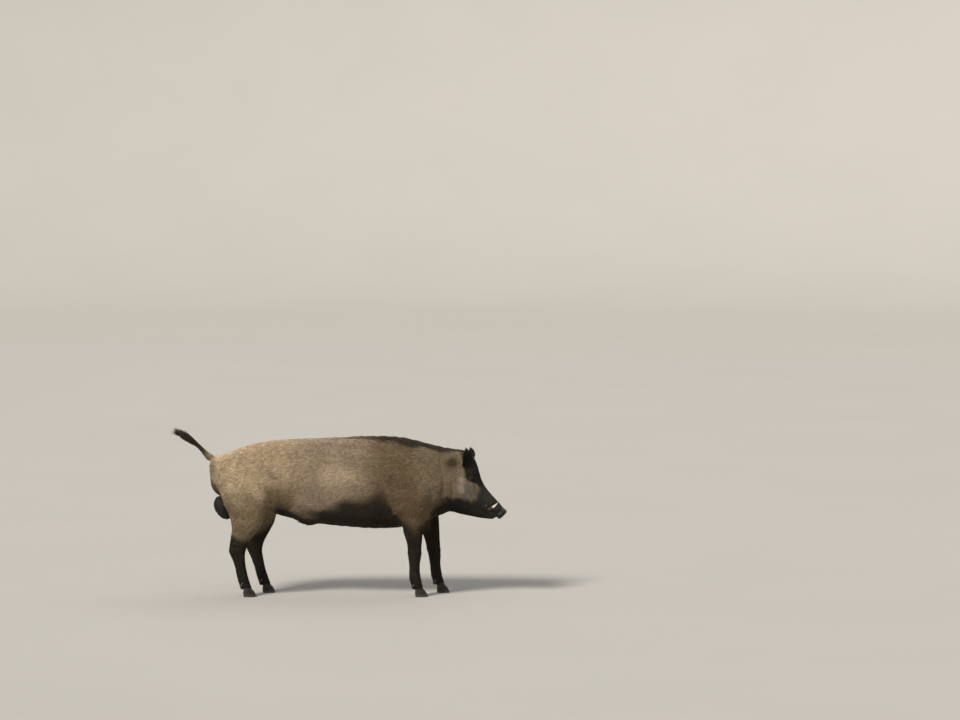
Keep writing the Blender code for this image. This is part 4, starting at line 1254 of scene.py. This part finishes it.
def coat_regions(hide):
    """Return each coat piece's name with its faces and its chart's start, axis and away side."""
    centre, part = hide.centre, hide.part
    right = centre[:, 0] < 0.0
    trunk = is_part(part, "trunk")
    crest = (crest_weight(centre) > 0.30) & is_part(part, "trunk", "neck", "head")
    middle = np.array((0.0, 0.0, 0.560))
    regions = []
    for side_name, side in SIDES.items():
        on_side = right if side < 0 else ~right
        for label, low, high in TRUNK_COATS:
            zone = trunk & ~crest & on_side & (centre[:, 1] >= low) & (centre[:, 1] < high)
            regions.append((f"coat_trunk_{label}_{side_name}", zone, middle, BACKWARD, ACROSS * side))
        zone = is_part(part, "head") & ~crest & on_side
        regions.append((f"coat_head_{side_name}", zone, HEAD_CENTRE, FORWARD, RIGHTWARD * side))
        ear = "ear_" + side_name
        regions.append((f"coat_ear_{side_name}", is_part(part, ear), box_centre(ear), ear_axis(side_name),
                        FORWARD))
    regions.append(("coat_neck", is_part(part, "neck") & ~crest, middle, BACKWARD, UPRIGHT))
    regions.append(("coat_crest", crest, middle, BACKWARD, UPRIGHT))
    regions.append(("coat_scrotum", is_part(part, "scrotum"), box_centre("scrotum"), UPRIGHT, BACKWARD))
    for leg in LEGS:
        zone = is_part(part, f"leg_{leg}_upper", f"leg_{leg}_lower")
        hip = box_centre(f"leg_{leg}_upper")
        foot = foot_place(leg)
        away = ACROSS * np.sign(foot[0])
        regions.append((f"coat_leg_{leg}", zone, hip, hip - foot, away))
    tail_way = BACKWARD * 0.76 + UPRIGHT * 0.62
    tail = is_part(part, "tail", "tail_tassel")
    tassel = tail & (centre[:, 1] > TASSEL_START)
    regions.append(("coat_tail", tail & ~tassel, box_centre("tail"), tail_way, UPRIGHT))
    regions.append(("coat_tassel", tassel, box_centre("tail_tassel"), tail_way, UPRIGHT))
    return regions


def grow_region(hide, region, coat, colours, material, draw):
    """Grow one piece of the coat."""
    name, zone, start, axis, away = region
    chosen = np.flatnonzero(zone)
    density = tufts_at(hide.centre, hide.part, coat)[3]
    density = density * (bareness(hide.centre, hide.part) < 0.5)
    roots, normals, faces = roots_on(hide, chosen, density, draw)
    part = hide.part[faces]
    count = len(roots)
    length, width, lift, _ = tufts_at(roots, part, coat)
    length = length * (1.0 + LENGTH_SPREAD * (2.0 * draw.random(count) - 1.0))
    width = width * (0.75 + 0.5 * draw.random(count))
    lift = lift * (0.75 + 0.5 * draw.random(count) + 0.25 * ripple(roots, 0.018, 31))
    flow = flow_at(roots, part)
    flow = unit(flow - normals * np.sum(flow * normals, axis=1, keepdims=True))
    swerve = 0.16 * ripple(roots, 0.05, 32) + 0.10 * ripple(roots, 0.012, 33) + 0.10 * draw.normal(size=count)
    side = np.cross(flow, normals)
    flow = flow * np.cos(swerve)[:, None] + side * np.sin(swerve)[:, None]
    sway = 0.10 * ripple(roots, 0.02, 34) + 0.06 * draw.normal(size=count)
    shade = 1.0 + 0.10 * np.clip(draw.normal(size=count), -2.0, 2.0)
    tints = np.clip(markings(roots, part, colours) * shade[:, None], 0.0, 1.0)
    long_haired = name in ("coat_crest", "coat_tassel")
    piece = tuft_mesh(name, roots, flow, normals, length, width, lift, sway, tints,
                      chart(roots, start, axis, away), LONG_STATIONS if long_haired else SHORT_STATIONS)
    finish_piece(piece, material, "dark_coat" if name.startswith(DARK_COATS) else "coat")


# ---- operators ----

class BOAR_OT_hide(bpy.types.Operator):
    """Model one hide over all the flesh, from the snout's disc to the tail"""
    bl_idname = "boar.hide"
    bl_label = "Hide"

    def execute(self, context):
        hide = hide_blank(context.scene.boar_hide)
        shape_body(hide, context.scene.boar_hide)
        shape_face(hide)
        finish_piece(hide, hide_material(), "coat", *FLESH)
        return {"FINISHED"}


class BOAR_OT_coat(bpy.types.Operator):
    """Grow the coat of bristle tufts from the hide"""
    bl_idname = "boar.coat"
    bl_label = "Coat"

    def execute(self, context):
        scene = context.scene
        hide = Hide(bpy.data.objects["boar_hide"])
        material = bristle_material()
        draw = np.random.default_rng(scene.boar_coat.seed)
        for region in coat_regions(hide):
            grow_region(hide, region, scene.boar_coat, scene.boar_colours, material, draw)
        return {"FINISHED"}


class BOAR_OT_thin_hide(bpy.types.Operator):
    """Thin the hide's mesh where the coat covers it, and paint its markings"""
    bl_idname = "boar.thin_hide"
    bl_label = "Thin and paint the hide"

    def execute(self, context):
        hide = bpy.data.objects["boar_hide"]
        mesh = hide.data
        settings = context.scene.boar_hide
        numbers = part_numbers(mesh)
        plain = is_part(numbers, "trunk", "neck", "tail") | leg_numbers(numbers)
        plain |= is_part(numbers, "head") & (head_place(mesh_points(mesh))[:, 0] < -0.01)
        thin(hide, plain, settings.triangles / (2.0 * plain.sum()))
        points = mesh_points(mesh)
        numbers = nearest_parts(points)
        thin(hide, face_vertices(points, numbers) & ~fine_places(points), settings.face_share)
        points = mesh_points(mesh)
        numbers = nearest_parts(points)
        bare = bareness(points, numbers)
        under = 0.80 + 0.20 * bare
        paint(mesh, markings(points, numbers, context.scene.boar_colours) * under[:, None], bare)
        mesh.attributes.remove(mesh.attributes["part"])
        only(hide)
        bpy.ops.object.shade_smooth()
        return {"FINISHED"}


# How far the cornea stands out from the ball.
CORNEA_RISE = 0.0009


class BOAR_OT_eyes(bpy.types.Operator):
    """Model both eyeballs, each with a raised cornea that looks outward and ahead"""
    bl_idname = "boar.eyes"
    bl_label = "Eyes"

    def execute(self, context):
        material = eye_material()
        mesh = bpy.data.objects["boar_hide"].data
        skin, normals = mesh_points(mesh), mesh_normals(mesh)
        for side_name in SIDES:
            centre, axes = eye_frame(side_name, skin, normals)
            centre = Vector(centre)
            gaze = Vector(axes[2] + FORWARD * 0.12).normalized()
            turn = gaze.to_track_quat("Z", "Y").to_euler()
            bpy.ops.object.select_all(action="DESELECT")
            bpy.ops.mesh.primitive_uv_sphere_add(segments=40, ring_count=28, radius=EYE_RADIUS,
                                                 location=centre, rotation=turn)
            ball = bpy.context.active_object
            ball.name = "eyeball_" + side_name
            ball.data.uv_layers[0].name = "eye_chart"
            bpy.ops.object.transform_apply(location=True, rotation=True, scale=True)
            points = mesh_points(ball.data)
            outward = unit(points - np.array(centre))
            bulge = CORNEA_RISE * ramp(math.cos(0.72), math.cos(0.25), outward @ np.array(gaze))
            set_points(ball.data, points + outward * bulge[:, None])
            bpy.ops.object.shade_smooth()
            finish_piece(ball, material, "eye", "eye_" + side_name)
        return {"FINISHED"}


# The height of a lower tusk's tip above the head's line: the higher, the whiter the ivory is worn.
LOWER_TUSK_TOP = 0.066


class BOAR_OT_tusks(bpy.types.Operator):
    """Round the four tusks and mark how far each part of them is worn"""
    bl_idname = "boar.tusks"
    bl_label = "Tusks"

    def execute(self, context):
        material = tusk_material()
        for row in ("lower", "upper"):
            for side_name in SIDES:
                node = f"tusk_{row}_{side_name}"
                tusk = copy_of_node(node, f"ivory_{row}_{side_name}")
                apply_modifier(tusk, "SUBSURF", levels=2, render_levels=2)
                bpy.ops.object.shade_smooth()
                above = head_place(mesh_points(tusk.data))[:, 1]
                wear = ramp(0.0, LOWER_TUSK_TOP, above)
                layer = tusk.data.attributes.new("wear", "FLOAT", "POINT")
                layer.data.foreach_set("value", wear.astype(np.float32))
                finish_piece(tusk, material, "tusk", node)
        return {"FINISHED"}


# A hoof's upper end is pinched towards the pastern, a little ahead of the shin, and raised into the hide.
PASTERN_AHEAD = 0.006
HOOF_PINCH = (0.36, 0.52, 0.0)
HOOF_RAISE = 0.010


class BOAR_OT_hooves(bpy.types.Operator):
    """Round the hooves and dewclaws and let their upper ends run into the hide"""
    bl_idname = "boar.hooves"
    bl_label = "Hooves and dewclaws"

    def execute(self, context):
        material = horn_material()
        for leg in LEGS:
            shin = node_points(f"leg_{leg}_lower")
            ankle = shin[shin[:, 2] < HOOF_TOP + 0.020].mean(axis=0)
            for half in ("inner", "outer"):
                node = f"hoof_{leg}_{half}"
                hoof = copy_of_node(node, f"claw_{leg}_{half}")
                apply_modifier(hoof, "BEVEL", width=0.0016, segments=2, limit_method="ANGLE")
                points = mesh_points(hoof.data)
                top = ramp(0.45, 1.0, points[:, 2] / HOOF_TOP)[:, None]
                pastern = np.array((box_centre(node)[0], ankle[1] - PASTERN_AHEAD, 0.0))
                points = points + (pastern - points) * np.array(HOOF_PINCH) * top + UPRIGHT * HOOF_RAISE * top
                set_points(hoof.data, points)
                only(hoof)
                bpy.ops.object.shade_smooth_by_angle(angle=math.radians(40.0))
                finish_piece(hoof, material, "hoof", node)
                node = f"dewclaw_{leg}_{half}"
                claw = copy_of_node(node, f"spur_{leg}_{half}")
                apply_modifier(claw, "BEVEL", width=0.0022, segments=2, limit_method="ANGLE")
                apply_modifier(claw, "SUBSURF", levels=1, render_levels=1)
                bpy.ops.object.shade_smooth()
                finish_piece(claw, material, "hoof", node)
        return {"FINISHED"}


# The studio: a flat round floor that curves up into a wall, and a camera a long way off.
FLOOR_RADIUS = 24.0
COVE_RADIUS = 9.0
WALL_HEIGHT = 12.0
COVE_STEPS = 12
CAMERA_DISTANCE = 20.0
CAMERA_HEADING = math.radians(270.0)
CAMERA_HEIGHT_ANGLE = math.radians(4.0)
VIEW_WIDTH = 4.704
VIEW_AHEAD = 0.693
VIEW_HEIGHT = 1.156
SENSOR_WIDTH = 36.0


class BOAR_OT_stage(bpy.types.Operator):
    """Lay the pale floor and backdrop, and set the lights and the camera"""
    bl_idname = "boar.stage"
    bl_label = "Stage"

    def execute(self, context):
        settings = context.scene.boar_stage
        self.backdrop(settings)
        self.lights(context, settings)
        self.camera(context)
        context.scene.view_settings.view_transform = "Standard"
        return {"FINISHED"}

    def backdrop(self, settings):
        """Extrude a disc's rim up a quarter circle and on into a wall."""
        bpy.ops.object.select_all(action="DESELECT")
        bpy.ops.mesh.primitive_circle_add(vertices=96, radius=FLOOR_RADIUS, fill_type="NGON")
        floor = bpy.context.active_object
        floor.name = "studio_floor"
        bpy.ops.object.mode_set(mode="EDIT")
        bpy.ops.mesh.select_mode(type="EDGE")
        bpy.ops.mesh.select_all(action="SELECT")
        reach, height = FLOOR_RADIUS, 0.0
        for step in range(1, COVE_STEPS + 2):
            angle = math.radians(90.0) * min(step, COVE_STEPS) / COVE_STEPS
            next_reach = FLOOR_RADIUS + COVE_RADIUS * math.sin(angle)
            next_height = COVE_RADIUS * (1.0 - math.cos(angle))
            if step > COVE_STEPS:
                next_height = COVE_RADIUS + WALL_HEIGHT
            rise = (0.0, 0.0, next_height - height)
            bpy.ops.mesh.extrude_edges_move(TRANSFORM_OT_translate={"value": rise})
            bpy.ops.transform.resize(value=(next_reach / reach, next_reach / reach, 1.0))
            reach, height = next_reach, next_height
        bpy.ops.mesh.select_all(action="SELECT")
        bpy.ops.mesh.normals_make_consistent(inside=True)
        leave_edit()
        bpy.ops.object.shade_smooth_by_angle(angle=math.radians(30.0))
        floor.data.materials.append(studio_material(settings.floor))

    def lights(self, context, settings):
        """Set a main light over the right hindquarter, a weak one opposite and an even fill all round."""
        self.sun("main_light", (-0.60, 0.55, 0.74), settings.sun, 16.0, "#fffaf2")
        self.sun("opposite_light", (0.60, -0.60, 0.45), settings.opposite, 60.0, "#fbfcff")
        world = bpy.data.worlds.new("even_fill")
        world.use_nodes = True
        background = world.node_tree.nodes["Background"]
        background.inputs["Color"].default_value = (*linear("#f2f4f7"), 1.0)
        background.inputs["Strength"].default_value = settings.sky
        context.scene.world = world

    def sun(self, name, coming_from, strength, spread, colour):
        """Add one far light that comes from a direction, spread over an angle in degrees."""
        bpy.ops.object.light_add(type="SUN")
        light = bpy.context.active_object
        light.name = name
        light.rotation_euler = Vector(coming_from).to_track_quat("Z", "Y").to_euler()
        light.data.energy = strength
        light.data.angle = math.radians(spread)
        light.data.color = linear(colour)

    def camera(self, context):
        """Look level at the boar's right side from a little above, with the boar left of the middle."""
        target = Vector((0.0, -VIEW_AHEAD, VIEW_HEIGHT))
        away = Vector((math.sin(CAMERA_HEADING) * math.cos(CAMERA_HEIGHT_ANGLE),
                       -math.cos(CAMERA_HEADING) * math.cos(CAMERA_HEIGHT_ANGLE),
                       math.sin(CAMERA_HEIGHT_ANGLE)))
        bpy.ops.object.camera_add()
        camera = bpy.context.active_object
        camera.name = "camera"
        camera.location = target + away * CAMERA_DISTANCE
        camera.rotation_euler = away.to_track_quat("Z", "Y").to_euler()
        camera.data.sensor_width = SENSOR_WIDTH
        camera.data.lens = SENSOR_WIDTH * CAMERA_DISTANCE / VIEW_WIDTH
        camera.data.clip_start = 0.1
        camera.data.clip_end = 120.0
        context.scene.camera = camera


class BOAR_PT_panel(bpy.types.Panel):
    """Lists the boar's pieces in the order in which they are made"""
    bl_idname = "BOAR_PT_panel"
    bl_label = "Wild Boar"
    bl_space_type = "VIEW_3D"
    bl_region_type = "UI"
    bl_category = "Boar"

    def draw(self, context):
        for step in STEPS:
            self.layout.operator(step.bl_idname)
        for field in ("boar_hide", "boar_coat", "boar_colours", "boar_stage"):
            settings = getattr(context.scene, field)
            box = self.layout.box()
            for name in settings.__annotations__:
                box.prop(settings, name)


STEPS = (BOAR_OT_hide, BOAR_OT_coat, BOAR_OT_thin_hide, BOAR_OT_eyes, BOAR_OT_tusks, BOAR_OT_hooves,
         BOAR_OT_stage)
SETTINGS = {"boar_hide": BoarHideSettings, "boar_coat": BoarCoatSettings,
            "boar_colours": BoarColourSettings, "boar_stage": BoarStageSettings}


def register():
    """Register the settings, operators and panel."""
    for item in (*SETTINGS.values(), *STEPS, BOAR_PT_panel):
        bpy.utils.register_class(item)
    for field, group in SETTINGS.items():
        setattr(bpy.types.Scene, field, PointerProperty(type=group))


def unregister():
    """Take the panel, operators and settings away again."""
    for field in SETTINGS:
        delattr(bpy.types.Scene, field)
    for item in reversed((*SETTINGS.values(), *STEPS, BOAR_PT_panel)):
        bpy.utils.unregister_class(item)


def main():
    """Make every piece in order."""
    register()
    for step in STEPS:
        group, name = step.bl_idname.split(".")
        getattr(getattr(bpy.ops, group), name)()


if __name__ == "__main__":
    main()
